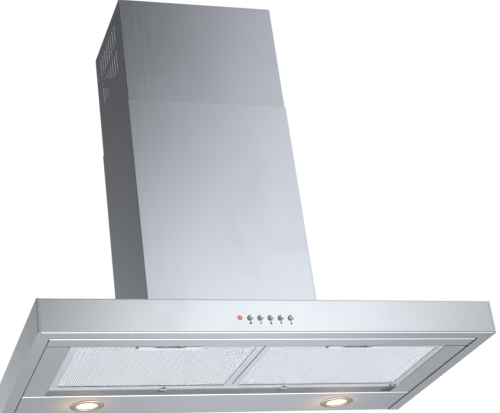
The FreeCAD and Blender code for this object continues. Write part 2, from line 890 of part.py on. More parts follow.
def make_lens(name, side):
    """Round lamp glass with a slight crown downwards, on the bezel's step."""
    body = new_body(name)
    edge = S.bezel_inner + S.bezel_seat - S.seat
    crown = S.bezel_inner - S.seat
    low = S.bezel_seat_high / 2 + S.seat
    turned(body, [
        (0, low - S.lens_crown, crown_radius(crown, S.lens_crown), 1),
        (crown, low),
        (edge, low),
        (edge, low + S.lens_high),
        (0, low + S.lens_high),
    ])
    return lamp_place(body, side)


def make_reflector(name, side):
    """Dished reflector seated on the bezel's neck."""
    body = new_body(name)
    low = S.bezel_neck_high
    skin = S.reflector_sheet
    top = low + S.reflector_high
    turned(body, [
        (S.reflector_mouth, low),
        (S.bezel_neck, low),
        (S.bezel_neck, low + skin),
        (S.reflector_mouth + skin, low + skin),
        (S.reflector_throat + skin, top),
        (S.reflector_throat, top),
    ])
    return lamp_place(body, side)


def make_capsule(name, side):
    """Halogen capsule with its ceramic base under the can's roof."""
    body = new_body(name)
    base_low = S.can_high - S.can_sheet - S.capsule_base_high
    tip = base_low - S.capsule_high
    radius = S.capsule_radius
    turned(body, [
        (0, tip),
        (radius / 2, tip),
        (radius, tip + radius / 2),
        (radius, base_low),
        (S.capsule_base_radius, base_low),
        (S.capsule_base_radius, base_low + S.capsule_base_high),
        (0, base_low + S.capsule_base_high),
    ])
    return lamp_place(body, side)


def make_can(name, side):
    """Round sheet can over a lamp, standing on the panel."""
    body = new_body(name)
    low = S.sheet
    top = S.can_high
    turned(body, [
        (S.can_radius - S.can_sheet, low),
        (S.can_radius, low),
        (S.can_radius, top),
        (0, top),
        (0, top - S.can_sheet),
        (S.can_radius - S.can_sheet, top - S.can_sheet),
    ])
    return lamp_place(body, side)


# Controls

FACING_COOK = FreeCAD.Rotation(FreeCAD.Vector(1, 0, 0), 90)


def make_button(name, across):
    """Domed push button with a retaining flange behind the fascia and a stem."""
    body = new_body(name)
    radius = S.button_radius
    crown = S.button_crown
    flange_top = -S.sheet - S.seat
    flange_low = flange_top - S.button_flange_high
    turned(body, [
        (0, flange_low - S.button_stem_long),
        (S.button_stem, flange_low - S.button_stem_long),
        (S.button_stem, flange_low),
        (radius + S.button_flange, flange_low),
        (radius + S.button_flange, flange_top),
        (radius, flange_top),
        (radius, S.button_out, crown_radius(radius, crown), 1),
        (0, S.button_out + crown),
    ])
    return place(body, across, FRONT, S.control_up, FACING_COOK)


def make_indicator(name, across):
    """Indicator lens through the fascia, standing on the switch block."""
    body = new_body(name)
    radius = S.indicator_radius
    crown = S.indicator_crown
    turned(body, [
        (0, -S.sheet - S.switch_back),
        (radius, -S.sheet - S.switch_back),
        (radius, S.indicator_out, crown_radius(radius, crown), 1),
        (0, S.indicator_out + crown),
    ])
    return place(body, across, FRONT, S.control_up, FACING_COOK)


def make_switch_block():
    """Switch housing behind the fascia, on two legs, with a blind hole for each button stem."""
    body = new_body("switch_block")
    places = control_places()
    left = places[0] - S.switch_end
    right = places[-1] + S.switch_end
    low = S.control_up - S.switch_high / 2
    high = S.control_up + S.switch_high / 2
    front = SWITCH_FRONT
    pad(body, "XZ", front, front + S.switch_deep, [rectangle(left, low, right, high)])
    reach = S.seat + S.button_flange_high + S.button_stem_long + S.button_travel
    depth = reach + S.seat - S.switch_back
    pocket(body, "XZ", front - S.overrun, front + depth + S.overrun, [],
           [(across, S.control_up, S.button_stem + S.seat) for across in places[1:]])
    leg_left = left + S.switch_leg
    leg_right = right - S.switch_leg
    pad(body, "XZ", FRONT + S.sheet, front, [],
        [(leg_left, low + S.switch_leg, S.switch_leg), (leg_right, low + S.switch_leg, S.switch_leg)])
    return place(body)


# Blower

def make_blower_box():
    """Sheet box over the canopy's inlet, open below, with foot flanges and wall bolt holes."""
    body = new_body("blower_box")
    half = S.box_wide / 2
    sheet = S.sheet
    pad(body, "XY", ROOF, BOX_TOP, [rectangle(-half, -S.box_deep, half, 0)])
    pocket(body, "XY", ROOF - S.overrun, BOX_TOP - sheet,
           [rectangle(sheet - half, sheet - S.box_deep, half - sheet, -sheet)])
    foot = S.box_flange
    pad(body, "XY", ROOF, ROOF + sheet, both_sides(rectangle(half, -S.box_deep, half + foot, 0)))
    pad(body, "XY", ROOF, ROOF + sheet,
        [rectangle(-half, -S.box_deep - foot, half, -S.box_deep)])
    pocket(body, "XY", BOX_TOP - sheet - S.overrun, BOX_TOP + S.overrun, [],
           [(0, DUCT_Y, S.collar_radius - S.collar_wall)])
    low = ROOF + S.bolt_low
    high = low + S.bolt_rise
    across = S.bolt_wide / 2
    pocket(body, "XZ", -sheet - S.overrun, S.overrun, [],
           [(x, z, S.bolt_radius) for x in (-across, across) for z in (low, high)])
    return place(body)


def make_scroll():
    """Volute housing round the wheel, with round inlets front and rear and its outlet on top."""
    body = new_body("blower_scroll")
    wall = S.scroll_wall
    top = BOX_TOP - S.sheet

    def outline(inset, up):
        """The volute drawn in by inset. Its outlet duct ends at up."""
        small = S.scroll_small - inset
        middle = S.scroll_middle - inset
        large = S.scroll_large - inset
        left_centre = SCROLL_X
        right_centre = SCROLL_X + (S.scroll_middle - S.scroll_small)
        high_centre = AXIS_Z + (S.scroll_large - S.scroll_middle)
        return [
            (left_centre, AXIS_Z + small, small, 1),
            (left_centre - small, AXIS_Z, middle, 1),
            (right_centre, AXIS_Z - middle, large, 1),
            (right_centre + large, high_centre),
            (right_centre + large, up),
            (right_centre + inset, up),
            (right_centre + inset, AXIS_Z + small),
        ]

    rear = SCROLL_FRONT + S.scroll_deep
    pad(body, "XZ", SCROLL_FRONT, rear, [outline(length_of(0), top)])
    pocket(body, "XZ", SCROLL_FRONT + wall, rear - wall, [outline(wall, top + S.overrun)])
    pocket(body, "XZ", SCROLL_FRONT - S.overrun, rear + S.overrun, [],
           [(SCROLL_X, AXIS_Z, S.scroll_inlet)])
    return place(body)


def make_wheel():
    """Blower wheel: centre disc and hub, two end rings and forward-leaning blades."""
    body = new_body("blower_wheel")
    half = S.scroll_deep / 2 - S.scroll_wall - S.wheel_side_gap
    pad(body, "XY", -S.wheel_disc / 2, S.wheel_disc / 2, [], [(0, 0, S.wheel_radius - S.wheel_ring)])
    pad(body, "XY", -S.wheel_hub_high / 2, S.wheel_hub_high / 2, [], [(0, 0, S.wheel_hub)])
    inner = S.wheel_inner
    outer = S.wheel_radius - S.wheel_ring / 2
    blade = pad(body, "XY", -half, half, [[
        (inner, 0),
        (outer, S.blade_sweep),
        (outer, S.blade_sweep + S.blade_sheet),
        (inner, S.blade_sheet),
    ]])
    pattern = body.newObject("PartDesign::PolarPattern", "blades")
    pattern.Originals = [blade]
    pattern.Axis = (origin_part(body, "Z_Axis"), [""])
    pattern.Angle = 360
    pattern.setExpression("Occurrences", S.blade_count.formula)
    body.Tip = pattern
    ring = [(0, 0, S.wheel_radius), (0, 0, S.wheel_radius - S.wheel_ring)]
    pad(body, "XY", half - S.wheel_ring_high, half, [], ring)
    pad(body, "XY", -half, S.wheel_ring_high - half, [], ring)
    pocket(body, "XY", -S.wheel_hub_high, S.wheel_hub_high, [],
           [(0, 0, S.shaft_radius + S.running_fit)])
    return place(body, SCROLL_X, DUCT_Y, AXIS_Z, FACING_COOK)


def make_shaft():
    """Steel shaft from inside the motor to the wheel's hub."""
    body = new_body("motor_shaft")
    start = MOTOR_REAR - S.motor_bore + S.seat
    pad(body, "XZ", start, DUCT_Y + S.wheel_hub_high / 2, [], [(0, 0, S.shaft_radius)])
    return place(body, SCROLL_X, 0, AXIS_Z)


def make_motor():
    """Round motor in front of the volute, with a blind bore for the shaft."""
    body = new_body("blower_motor")
    pad(body, "XZ", MOTOR_FRONT, MOTOR_REAR, [], [(0, 0, S.motor_radius)])
    pocket(body, "XZ", MOTOR_REAR - S.motor_bore, MOTOR_REAR + S.overrun, [],
           [(0, 0, S.shaft_radius + S.running_fit)])
    return place(body, SCROLL_X, 0, AXIS_Z)


def make_motor_bracket():
    """Ring on the volute's front face with three arms that carry the motor."""
    body = new_body("motor_bracket")
    sheet = S.bracket_sheet
    rear = SCROLL_FRONT
    inner = S.scroll_inlet
    outer = inner + S.bracket_ring
    pad(body, "XZ", rear - sheet, rear, [], [(0, 0, outer), (0, 0, inner)])
    hub = S.bracket_hub
    half = S.bracket_arm / 2
    arms = [rectangle(-half, 0, half, outer), angled_arm(-1, outer), angled_arm(1, outer)]
    for arm in arms:
        pad(body, "XZ", MOTOR_REAR, rear - sheet, [arm])
    pad(body, "XZ", MOTOR_REAR, rear - sheet, [], [(0, 0, hub)])
    pocket(body, "XZ", MOTOR_REAR - S.overrun, rear - sheet + S.overrun, [],
           [(0, 0, S.shaft_radius * 2)])
    return place(body, SCROLL_X, 0, AXIS_Z)


def angled_arm(turn, reach):
    """The outline of an arm that leans a third of a turn to the left (-1) or right (1)."""
    across_share = math.sin(math.tau / 3) * turn
    up_share = math.cos(math.tau / 3)
    half = S.bracket_arm / 2
    side_across = half * up_share
    side_up = half * across_share
    far_across = reach * across_share
    far_up = reach * up_share
    return [
        (-side_across, side_up),
        (side_across, -side_up),
        (far_across + side_across, far_up - side_up),
        (far_across - side_across, far_up + side_up),
    ]


def make_capacitor():
    """Round motor capacitor beside the box's right wall."""
    body = new_body("motor_capacitor")
    low = ROOF + S.capacitor_up
    pad(body, "XY", low, low + S.capacitor_high, [], [(0, 0, S.capacitor_radius)])
    across = S.box_wide / 2 - S.sheet - S.seat - S.capacitor_radius
    return place(body, across, DUCT_Y)


def make_transformer():
    """Lamp transformer on the box's right wall."""
    right = S.box_wide / 2 - S.sheet
    low = ROOF + S.transformer_up
    half = S.transformer_deep / 2
    return block("lamp_transformer", right - S.transformer_wide, right,
                 DUCT_Y - half, DUCT_Y + half, low, low + S.transformer_high)


def terminal_places():
    """The left, right, front and rear faces of the terminal box."""
    left = S.terminal_side - S.box_wide / 2
    rear = -S.terminal_rear
    return left, left + S.terminal_wide, rear - S.terminal_deep, rear


def make_terminal_box():
    """Mains terminal box on top of the blower box, with a hole for its gland."""
    body = new_body("terminal_box")
    left, right, front, rear = terminal_places()
    high = BOX_TOP + S.terminal_high
    pad(body, "XY", BOX_TOP, high, [rectangle(left, front, right, rear)])
    pocket(body, "XY", BOX_TOP + S.sheet, high + S.overrun, [],
           [((left + right) / 2, (front + rear) / 2, S.gland_bore + S.seat)])
    return place(body)


def make_gland():
    """Cable gland on the terminal box, bored for the mains lead."""
    body = new_body("cable_gland")
    left, right, front, rear = terminal_places()
    turned(body, [
        (S.gland_bore, 0),
        (S.gland_radius, 0),
        (S.gland_radius, S.gland_high / 2),
        (S.gland_radius - S.sheet, S.gland_high),
        (S.gland_bore, S.gland_high),
    ])
    return place(body, (left + right) / 2, (front + rear) / 2, BOX_TOP + S.terminal_high)


# Outlet collar

def make_collar():
    """Round duct collar on a square plate, with a stop ring and the flap pin's two bores."""
    body = new_body("outlet_collar")
    low = BOX_TOP
    floor = low + S.collar_plate_high
    inner = S.collar_radius - S.collar_wall
    half = S.collar_plate / 2
    pad(body, "XY", 0, S.collar_plate_high, [rectangle(-half, -half, half, half)])
    pad(body, "XY", 0, S.collar_plate_high + S.collar_high, [], [(0, 0, S.collar_radius)])
    pocket(body, "XY", -S.overrun, S.collar_plate_high + S.collar_high + S.overrun, [], [(0, 0, inner)])
    stop_top = S.collar_plate_high + S.pin_up - S.flap_sheet / 2 - S.seat
    pad(body, "XY", stop_top - S.collar_stop_high, stop_top, [],
        [(0, 0, inner), (0, 0, inner - S.collar_stop)])
    pocket(body, "XZ", -S.collar_radius - S.overrun, S.collar_radius + S.overrun, [],
           [(0, PIN_Z - BOX_TOP, S.pin_radius + S.running_fit)])
    return place(body, 0, DUCT_Y, BOX_TOP)


def make_pin():
    """Flap pin across the collar, along Y."""
    body = new_body("flap_pin")
    half = S.collar_radius - S.seat
    pad(body, "XZ", -half, half, [], [(0, 0, S.pin_radius)])
    return place(body, 0, DUCT_Y, PIN_Z)


def make_flap(name, side):
    """Half-round non-return flap with two knuckles on the pin."""
    body = new_body(name)
    radius = S.collar_radius - S.collar_wall - S.flap_edge_gap
    edge = S.knuckle_radius + S.seat * 1.5
    rise = Length(
        f"sqrt({radius.formula} * {radius.formula} - {edge.formula} * {edge.formula})",
        math.sqrt(radius.value**2 - edge.value**2),
    )
    half_disc = [(edge, -rise, radius, 1), (radius, 0, radius, 1), (edge, rise)]
    if side < 0:
        half_disc = mirrored(half_disc)
    pad(body, "XY", -S.flap_sheet / 2, S.flap_sheet / 2, [half_disc])
    starts = [S.knuckle_step * step for step in ((-2, 0) if side < 0 else (-1, 1))]
    for start in starts:
        web = rectangle(0, start, edge + S.seat, start + S.knuckle_long)
        if side < 0:
            web = mirrored(web)
        pad(body, "XY", -S.flap_sheet / 2, S.flap_sheet / 2, [web])
        pad(body, "XZ", start, start + S.knuckle_long, [], [(0, 0, S.knuckle_radius)])
    pocket(body, "XZ", -S.collar_radius, S.collar_radius, [], [(0, 0, S.pin_radius + S.running_fit)])
    return place(body, 0, DUCT_Y, PIN_Z)


# Chimney

def cover_outline(half, front, turn_in):
    """A cover's plan: three walls with rounded front corners, and returns at the wall."""
    sheet = S.sheet
    bend = S.bend_radius
    inner = S.bend_radius - S.sheet
    outline = [
        (-half, 0),
        (-half, front + bend, bend, 1),
        (bend - half, front),
        (half - bend, front, bend, 1),
        (half, front + bend),
        (half, 0),
    ]
    if turn_in is None:
        right_end = [(half - sheet, 0)]
        left_end = [(sheet - half, 0)]
    else:
        right_end = [(half - turn_in, 0), (half - turn_in, -sheet), (half - sheet, -sheet)]
        left_end = [(sheet - half, -sheet), (turn_in - half, -sheet), (turn_in - half, 0)]
    outline += right_end
    outline += [
        (half - sheet, front + bend, inner, -1),
        (half - bend, front + sheet),
        (bend - half, front + sheet, inner, -1),
        (sheet - half, front + bend),
    ]
    return outline + left_end


def make_lower_cover():
    """Outer chimney cover standing on the canopy."""
    body = new_body("chimney_lower")
    pad(body, "XY", ROOF, S.cover_top, [cover_outline(S.cover_wide / 2, -S.cover_deep, None)])
    return place(body)


def make_upper_cover():
    """Inner telescopic cover with two rows of vent slots in each side and two screw holes."""
    body = new_body("chimney_upper")
    half = UPPER_HALF
    pad(body, "XY", UPPER_FOOT, S.upper_top, [cover_outline(half, UPPER_FRONT, S.upper_return)])
    front = UPPER_FRONT + S.vent_front
    first_top = S.upper_top - S.vent_top
    second_top = first_top - S.vent_row
    slots = [upright_slot(front, top - S.vent_high, front + S.vent_wide, top)
             for top in (first_top, second_top)]
    cut = pocket(body, "YZ", -half - S.overrun, half + S.overrun, slots)
    pattern = body.newObject("PartDesign::LinearPattern", "vents")
    pattern.Originals = [cut]
    pattern.Direction = (origin_part(body, "Y_Axis"), [""])
    bind(pattern, "Length", S.vent_pitch * (COUNTS["vent_count"] - 1))
    pattern.setExpression("Occurrences", S.vent_count.formula)
    body.Tip = pattern
    pocket(body, "YZ", -half - S.overrun, half + S.overrun, [],
           [(-S.screw_rear, S.upper_top - S.screw_down, S.screw_radius + S.seat)])
    return place(body)


def make_cover_screw(name, side):
    """Flat-headed screw through the upper cover's side."""
    body = new_body(name)
    head = S.screw_head_high
    turned(body, [
        (0, -S.sheet),
        (S.screw_radius, -S.sheet),
        (S.screw_radius, 0),
        (S.screw_head, 0),
        (S.screw_head, head / 2),
        (S.screw_head - head, head),
        (0, head),
    ])
    facing_out = FreeCAD.Rotation(FreeCAD.Vector(0, 1, 0), 90 * side)
    return place(body, UPPER_HALF * side, -S.screw_rear, S.upper_top - S.screw_down, facing_out)


def make_wall_bracket():
    """Wall plate near the chimney's top, with an ear inside each side of the upper cover."""
    body = new_body("chimney_bracket")
    middle = S.upper_top - S.screw_down
    low = middle - S.wall_plate_high / 2
    high = middle + S.wall_plate_high / 2
    ear = UPPER_HALF - S.sheet - S.seat
    plate = UPPER_HALF - S.upper_return - S.wall_plate_short
    step = S.wall_plate_sheet
    pad(body, "XY", low, high, [rectangle(-plate, -step, plate, 0)])
    arm = rectangle(plate - S.wall_plate_short, -step * 2, ear, -step)
    pad(body, "XY", low, high, both_sides(arm))
    ear_walls = rectangle(ear - S.wall_ear_sheet, -S.wall_ear_deep, ear, -step)
    pad(body, "XY", low, high, both_sides(ear_walls))
    across = S.wall_bolt_wide / 2
    pocket(body, "XZ", -step - S.overrun, S.overrun, [],
           [(-across, middle, S.wall_bolt_radius), (across, middle, S.wall_bolt_radius)])
    pocket(body, "YZ", -ear - S.overrun, ear + S.overrun, [], [(-S.screw_rear, middle, S.screw_radius)])
    return place(body)


SIDES = (("left", -1), ("right", 1))
BUTTONS = ("button_off", "button_speed_1", "button_speed_2", "button_speed_3", "button_light")


def build_all():
    """Makes every piece of the hood."""
    make_canopy_shell()
    make_fascia()
    make_front_strip()
    make_lamp_panel()
    make_filter_ledge()
    for word, side in SIDES:
        make_side_panel(f"side_panel_{word}", side)
        make_filter_frame(f"filter_frame_{word}", side)
        make_filter_mesh(f"filter_mesh_{word}", side)
        make_filter_core(f"filter_core_{word}", side)
        make_latch(f"filter_latch_{word}", side)
        make_latch_spring(f"latch_spring_{word}", side)
        make_bezel(f"lamp_bezel_{word}", side)
        make_lens(f"lamp_lens_{word}", side)
        make_reflector(f"lamp_reflector_{word}", side)
        make_capsule(f"lamp_capsule_{word}", side)
        make_can(f"lamp_can_{word}", side)
        make_flap(f"flap_{word}", side)
        make_cover_screw(f"cover_screw_{word}", side)
    places = control_places()
    make_indicator("indicator_lens", places[0])
    for name, across in zip(BUTTONS, places[1:]):
        make_button(name, across)
    make_switch_block()
    make_blower_box()
    make_scroll()
    make_wheel()
    make_shaft()
    make_motor()
    make_motor_bracket()
    make_capacitor()
    make_transformer()
    make_terminal_box()
    make_gland()
    make_collar()
    make_pin()
    make_lower_cover()
    make_upper_cover()
    make_wall_bracket()


def check_all():
    """Stops with the names of objects that failed and of pieces without one valid solid."""
    faults = [o.Name for o in DOC.Objects if "Invalid" in o.State or "Error" in o.State]
    for piece in PIECES:
        shape = piece.Shape
        if shape.isNull() or not shape.isValid() or len(shape.Solids) != 1:
            faults.append(piece.Label)
    if faults:
        raise RuntimeError("not built: " + ", ".join(faults))


def export_all():
    """Writes each piece to its own STEP file."""
    os.makedirs("parts", exist_ok=True)
    for piece in PIECES:
        piece.Shape.exportStep(f"parts/{piece.Label}.step")
    print(len(PIECES), "pieces")


build_all()
DOC.recompute()
check_all()
export_all()
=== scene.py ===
import json
import math

import bmesh
import bpy
import numpy as np
from mathutils import Matrix, Vector


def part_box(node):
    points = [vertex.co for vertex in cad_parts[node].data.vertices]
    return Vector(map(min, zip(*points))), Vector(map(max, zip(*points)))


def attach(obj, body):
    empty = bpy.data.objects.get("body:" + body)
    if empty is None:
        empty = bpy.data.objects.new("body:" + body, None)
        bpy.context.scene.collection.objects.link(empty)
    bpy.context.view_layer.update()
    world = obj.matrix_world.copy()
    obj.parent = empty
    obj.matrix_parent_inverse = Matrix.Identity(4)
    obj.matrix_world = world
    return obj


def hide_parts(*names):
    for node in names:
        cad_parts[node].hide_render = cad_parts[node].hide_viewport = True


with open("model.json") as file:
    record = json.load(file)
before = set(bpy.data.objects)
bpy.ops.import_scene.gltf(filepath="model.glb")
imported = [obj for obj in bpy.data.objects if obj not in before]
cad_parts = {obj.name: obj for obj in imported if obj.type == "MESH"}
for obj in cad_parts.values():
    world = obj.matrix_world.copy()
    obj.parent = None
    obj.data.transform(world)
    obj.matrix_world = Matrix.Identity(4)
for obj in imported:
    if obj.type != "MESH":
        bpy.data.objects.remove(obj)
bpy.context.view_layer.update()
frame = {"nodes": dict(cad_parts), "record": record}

MM = 0.001
SIDES = (("left", -1), ("right", 1))


# Node trees

def add_node(tree, kind, inputs=None, **settings):
    """Add one node, set its properties, then link or set each named input."""
    node = tree.nodes.new(kind)
    for name, value in settings.items():
        setattr(node, name, value)
    for name, value in (inputs or {}).items():
        socket = node.inputs[name]
        if isinstance(value, bpy.types.NodeSocket):
            tree.links.new(value, socket)
        else:
            socket.default_value = value
    return node


def calculate(tree, operation, first, second=0.0, third=0.0):
    """The result of one sum on numbers or sockets."""
    node = add_node(tree, "ShaderNodeMath", {0: first, 1: second, 2: third}, operation=operation)
    return node.outputs[0]


def on_vectors(tree, operation, first, second=(0, 0, 0)):
    """The result of one sum on vectors, or the length of one."""
    node = add_node(tree, "ShaderNodeVectorMath", {0: first, 1: second}, operation=operation)
    return node.outputs["Value" if operation == "LENGTH" else "Vector"]


def fitted(tree, value, low, high):
    """A mask of 0 to 1 brought to the range from low to high."""
    node = add_node(tree, "ShaderNodeMapRange", {"Value": value, "To Min": low, "To Max": high})
    return node.outputs[0]


def mask_between(tree, value, low, high, **settings):
    """A mask that goes from 0 to 1 as the value goes from low to high."""
    node = add_node(tree, "ShaderNodeMapRange",
                    {"Value": value, "From Min": low, "From Max": high}, **settings)
    return node.outputs[0]


def bell_curve(tree, squares, steepness):
    """A mask of 1 in the middle: e to the power of minus the squares times the steepness."""
    return calculate(tree, "EXPONENT", calculate(tree, "MULTIPLY", squares, -steepness))


def object_place(tree):
    """The place of each point on the object, in metres."""
    return add_node(tree, "ShaderNodeTexCoord").outputs["Object"]


def cloud_noise(tree, place, scale, detail, **more):
    """Noise by place, with its finer settings by name."""
    inputs = {"Vector": place, "Scale": scale, "Detail": detail, **more}
    return add_node(tree, "ShaderNodeTexNoise", inputs).outputs[0]


def blended(tree, mask, first, second):
    """Two colours, the second where the mask is 1."""
    node = add_node(tree, "ShaderNodeMix", data_type="RGBA")
    for place, value in ((0, mask), (6, first), (7, second)):
        socket = node.inputs[place]
        if isinstance(value, bpy.types.NodeSocket):
            tree.links.new(value, socket)
        else:
            socket.default_value = value
    return node.outputs[2]


def shaded(tree, colour, shade):
    """A colour multiplied by a shade that changes over the surface."""
    return on_vectors(tree, "MULTIPLY", colour[:3], shade)


def new_group(name, inputs, outputs):
    """A shader node group with named inputs, given as (name, kind, value), and named outputs."""
    tree = bpy.data.node_groups.new(name, "ShaderNodeTree")
    for label, kind, value in inputs:
        socket = tree.interface.new_socket(label, in_out="INPUT", socket_type=kind)
        socket.default_value = value
    for label in outputs:
        tree.interface.new_socket(label, in_out="OUTPUT", socket_type="NodeSocketFloat")
    return tree, tree.nodes.new("NodeGroupInput").outputs, tree.nodes.new("NodeGroupOutput").inputs


def place_group(tree, group, inputs):
    """The outputs of a node group placed in a material with its own values."""
    node = add_node(tree, "ShaderNodeGroup", node_tree=group)
    for name, value in inputs.items():
        node.inputs[name].default_value = value
    return node.outputs


def brushed_lines():
    """Lines left by a brushing belt: noise stretched along the grain, coarse and fine."""
    tree, given, result = new_group(
        "brushed lines",
        [("Stretch", "NodeSocketVector", (4, 300, 300)), ("Depth", "NodeSocketFloat", 0.1)],
        ["Shade", "Lines"])
    place = on_vectors(tree, "MULTIPLY", object_place(tree), given["Stretch"])
    lines = cloud_noise(tree, place, 1.0, 5.0, Roughness=0.7)
    swing = calculate(tree, "SUBTRACT", lines, 0.5)
    swing = calculate(tree, "MULTIPLY", swing, given["Depth"])
    tree.links.new(calculate(tree, "ADD", swing, 1.0), result["Shade"])
    tree.links.new(lines, result["Lines"])
    return tree


def hand_marks():
    """Faint clouds where a sheet was wiped and handled."""
    tree, given, result = new_group(
        "hand marks", [("Size", "NodeSocketFloat", 6.0), ("Cover", "NodeSocketFloat", 0.5)],
        ["Mask"])
    cloud = cloud_noise(tree, object_place(tree), given["Size"], 4.0, Roughness=0.6, Distortion=0.6)
    low = calculate(tree, "SUBTRACT", 1.0, given["Cover"])
    mask = mask_between(tree, cloud, low, 1.0, interpolation_type="SMOOTHSTEP")
    tree.links.new(mask, result["Mask"])
    return tree


def settled_dust():
    """Dust on faces that look up, broken into patches."""
    tree, given, result = new_group(
        "settled dust", [("Amount", "NodeSocketFloat", 0.3), ("Size", "NodeSocketFloat", 40.0)],
        ["Mask"])
    facing = add_node(tree, "ShaderNodeNewGeometry").outputs["Normal"]
    up = add_node(tree, "ShaderNodeSeparateXYZ", {0: facing}).outputs["Z"]
    patches = cloud_noise(tree, object_place(tree), given["Size"], 5.0, Roughness=0.65)
    mask = calculate(tree, "MULTIPLY", mask_between(tree, up, 0.6, 1.0),
                     mask_between(tree, patches, 0.3, 0.75))
    tree.links.new(calculate(tree, "MULTIPLY", mask, given["Amount"]), result["Mask"])
    return tree


def moulded_grain():
    """The fine pebbled skin of a moulded plastic or a sprayed paint."""
    tree, given, result = new_group(
        "moulded grain", [("Size", "NodeSocketFloat", 900.0), ("Depth", "NodeSocketFloat", 0.1)],
        ["Shade", "Pebbles"])
    place = object_place(tree)
    pebbles = add_node(tree, "ShaderNodeTexVoronoi", {"Vector": place, "Scale": given["Size"]},
                       feature="SMOOTH_F1").outputs["Distance"]
    swing = calculate(tree, "SUBTRACT", cloud_noise(tree, place, 25.0, 3.0), 0.5)
    swing = calculate(tree, "MULTIPLY", swing, given["Depth"])
    tree.links.new(calculate(tree, "ADD", swing, 1.0), result["Shade"])
    tree.links.new(pebbles, result["Pebbles"])
    return tree


BRUSHED_LINES = brushed_lines()
HAND_MARKS = hand_marks()
SETTLED_DUST = settled_dust()
MOULDED_GRAIN = moulded_grain()
DUST_COLOUR = (0.42, 0.40, 0.37, 1)


def new_finish(name, **sockets):
    """A material with one Principled shader, whose named sockets are set to plain values."""
    finish = bpy.data.materials.new(name)
    finish.use_nodes = True
    shader = finish.node_tree.nodes["Principled BSDF"]
    for socket, value in sockets.items():
        shader.inputs[socket.replace("_", " ")].default_value = value
    return finish.node_tree, shader.inputs, finish


def raised(tree, height, depth, strength):
    """A normal bent by a height from 0 to 1, where depth is its real depth in metres."""
    return add_node(tree, "ShaderNodeBump", {"Height": height, "Distance": depth,
                                             "Strength": strength}).outputs[0]


def brushed_steel(name, colour, roughness, stretch, depth=0.06, dust=0.25):
    """Stainless sheet with belt lines, wiped clouds and a little dust on top."""
    tree, shader, finish = new_finish(name, Metallic=1.0)
    lines = place_group(tree, BRUSHED_LINES, {"Stretch": stretch, "Depth": depth})
    marks = place_group(tree, HAND_MARKS, {"Size": 5.0, "Cover": 0.62})
    dusty = place_group(tree, SETTLED_DUST, {"Amount": dust, "Size": 45.0})
    shade = shaded(tree, colour, lines["Shade"])
    tree.links.new(blended(tree, dusty["Mask"], shade, DUST_COLOUR), shader["Base Color"])
    rough = fitted(tree, lines["Lines"], roughness - 0.05, roughness + 0.05)
    rough = calculate(tree, "ADD", rough, calculate(tree, "MULTIPLY", marks["Mask"], 0.08))
    rough = calculate(tree, "ADD", rough, calculate(tree, "MULTIPLY", dusty["Mask"], 0.5))
    tree.links.new(rough, shader["Roughness"])
    tree.links.new(raised(tree, lines["Lines"], 0.00002, 0.14), shader["Normal"])
    return finish


def zinc_sheet(name, colour):
    """Hot dipped zinc: dull crystals a few millimetres across, each with its own tone."""
    tree, shader, finish = new_finish(name, Metallic=1.0)
    place = object_place(tree)
    crystals = add_node(tree, "ShaderNodeTexVoronoi", {"Vector": place, "Scale": 120.0})
    tone = add_node(tree, "ShaderNodeSeparateColor", {0: crystals.outputs["Color"]}).outputs[0]
    dusty = place_group(tree, SETTLED_DUST, {"Amount": 0.55, "Size": 30.0})
    shade = shaded(tree, colour, fitted(tree, tone, 0.84, 1.1))
    tree.links.new(blended(tree, dusty["Mask"], shade, DUST_COLOUR), shader["Base Color"])
    rough = calculate(tree, "ADD", fitted(tree, tone, 0.36, 0.56),
                      calculate(tree, "MULTIPLY", dusty["Mask"], 0.4))
    tree.links.new(rough, shader["Roughness"])
    tree.links.new(raised(tree, tone, 0.00004, 0.25), shader["Normal"])
    return finish


def satin_metal(name, colour, roughness, stretch, depth=0.1):
    """Rolled, drawn or plated metal with faint lines and marks."""
    tree, shader, finish = new_finish(name, Metallic=1.0)
    lines = place_group(tree, BRUSHED_LINES, {"Stretch": stretch, "Depth": depth})
    marks = place_group(tree, HAND_MARKS, {"Size": 30.0, "Cover": 0.55})
    tree.links.new(shaded(tree, colour, lines["Shade"]), shader["Base Color"])
    tree.links.new(fitted(tree, marks["Mask"], roughness, roughness + 0.12), shader["Roughness"])
    tree.links.new(raised(tree, lines["Lines"], 0.00002, 0.2), shader["Normal"])
    return finish


def moulded(name, colour, roughness, grain=900.0, dust=0.3, **sockets):
    """Moulded plastic, ceramic or paint with a fine pebbled skin and dust on top."""
    tree, shader, finish = new_finish(name, **sockets)
    skin = place_group(tree, MOULDED_GRAIN, {"Size": grain, "Depth": 0.25})
    dusty = place_group(tree, SETTLED_DUST, {"Amount": dust, "Size": 60.0})
    shade = shaded(tree, colour, skin["Shade"])
    tree.links.new(blended(tree, dusty["Mask"], shade, DUST_COLOUR), shader["Base Color"])
    rough = fitted(tree, skin["Pebbles"], roughness - 0.08, roughness + 0.08)
    rough = calculate(tree, "ADD", rough, calculate(tree, "MULTIPLY", dusty["Mask"], 0.4))
    tree.links.new(rough, shader["Roughness"])
    tree.links.new(raised(tree, skin["Pebbles"], 0.00012, 0.25), shader["Normal"])
    return finish


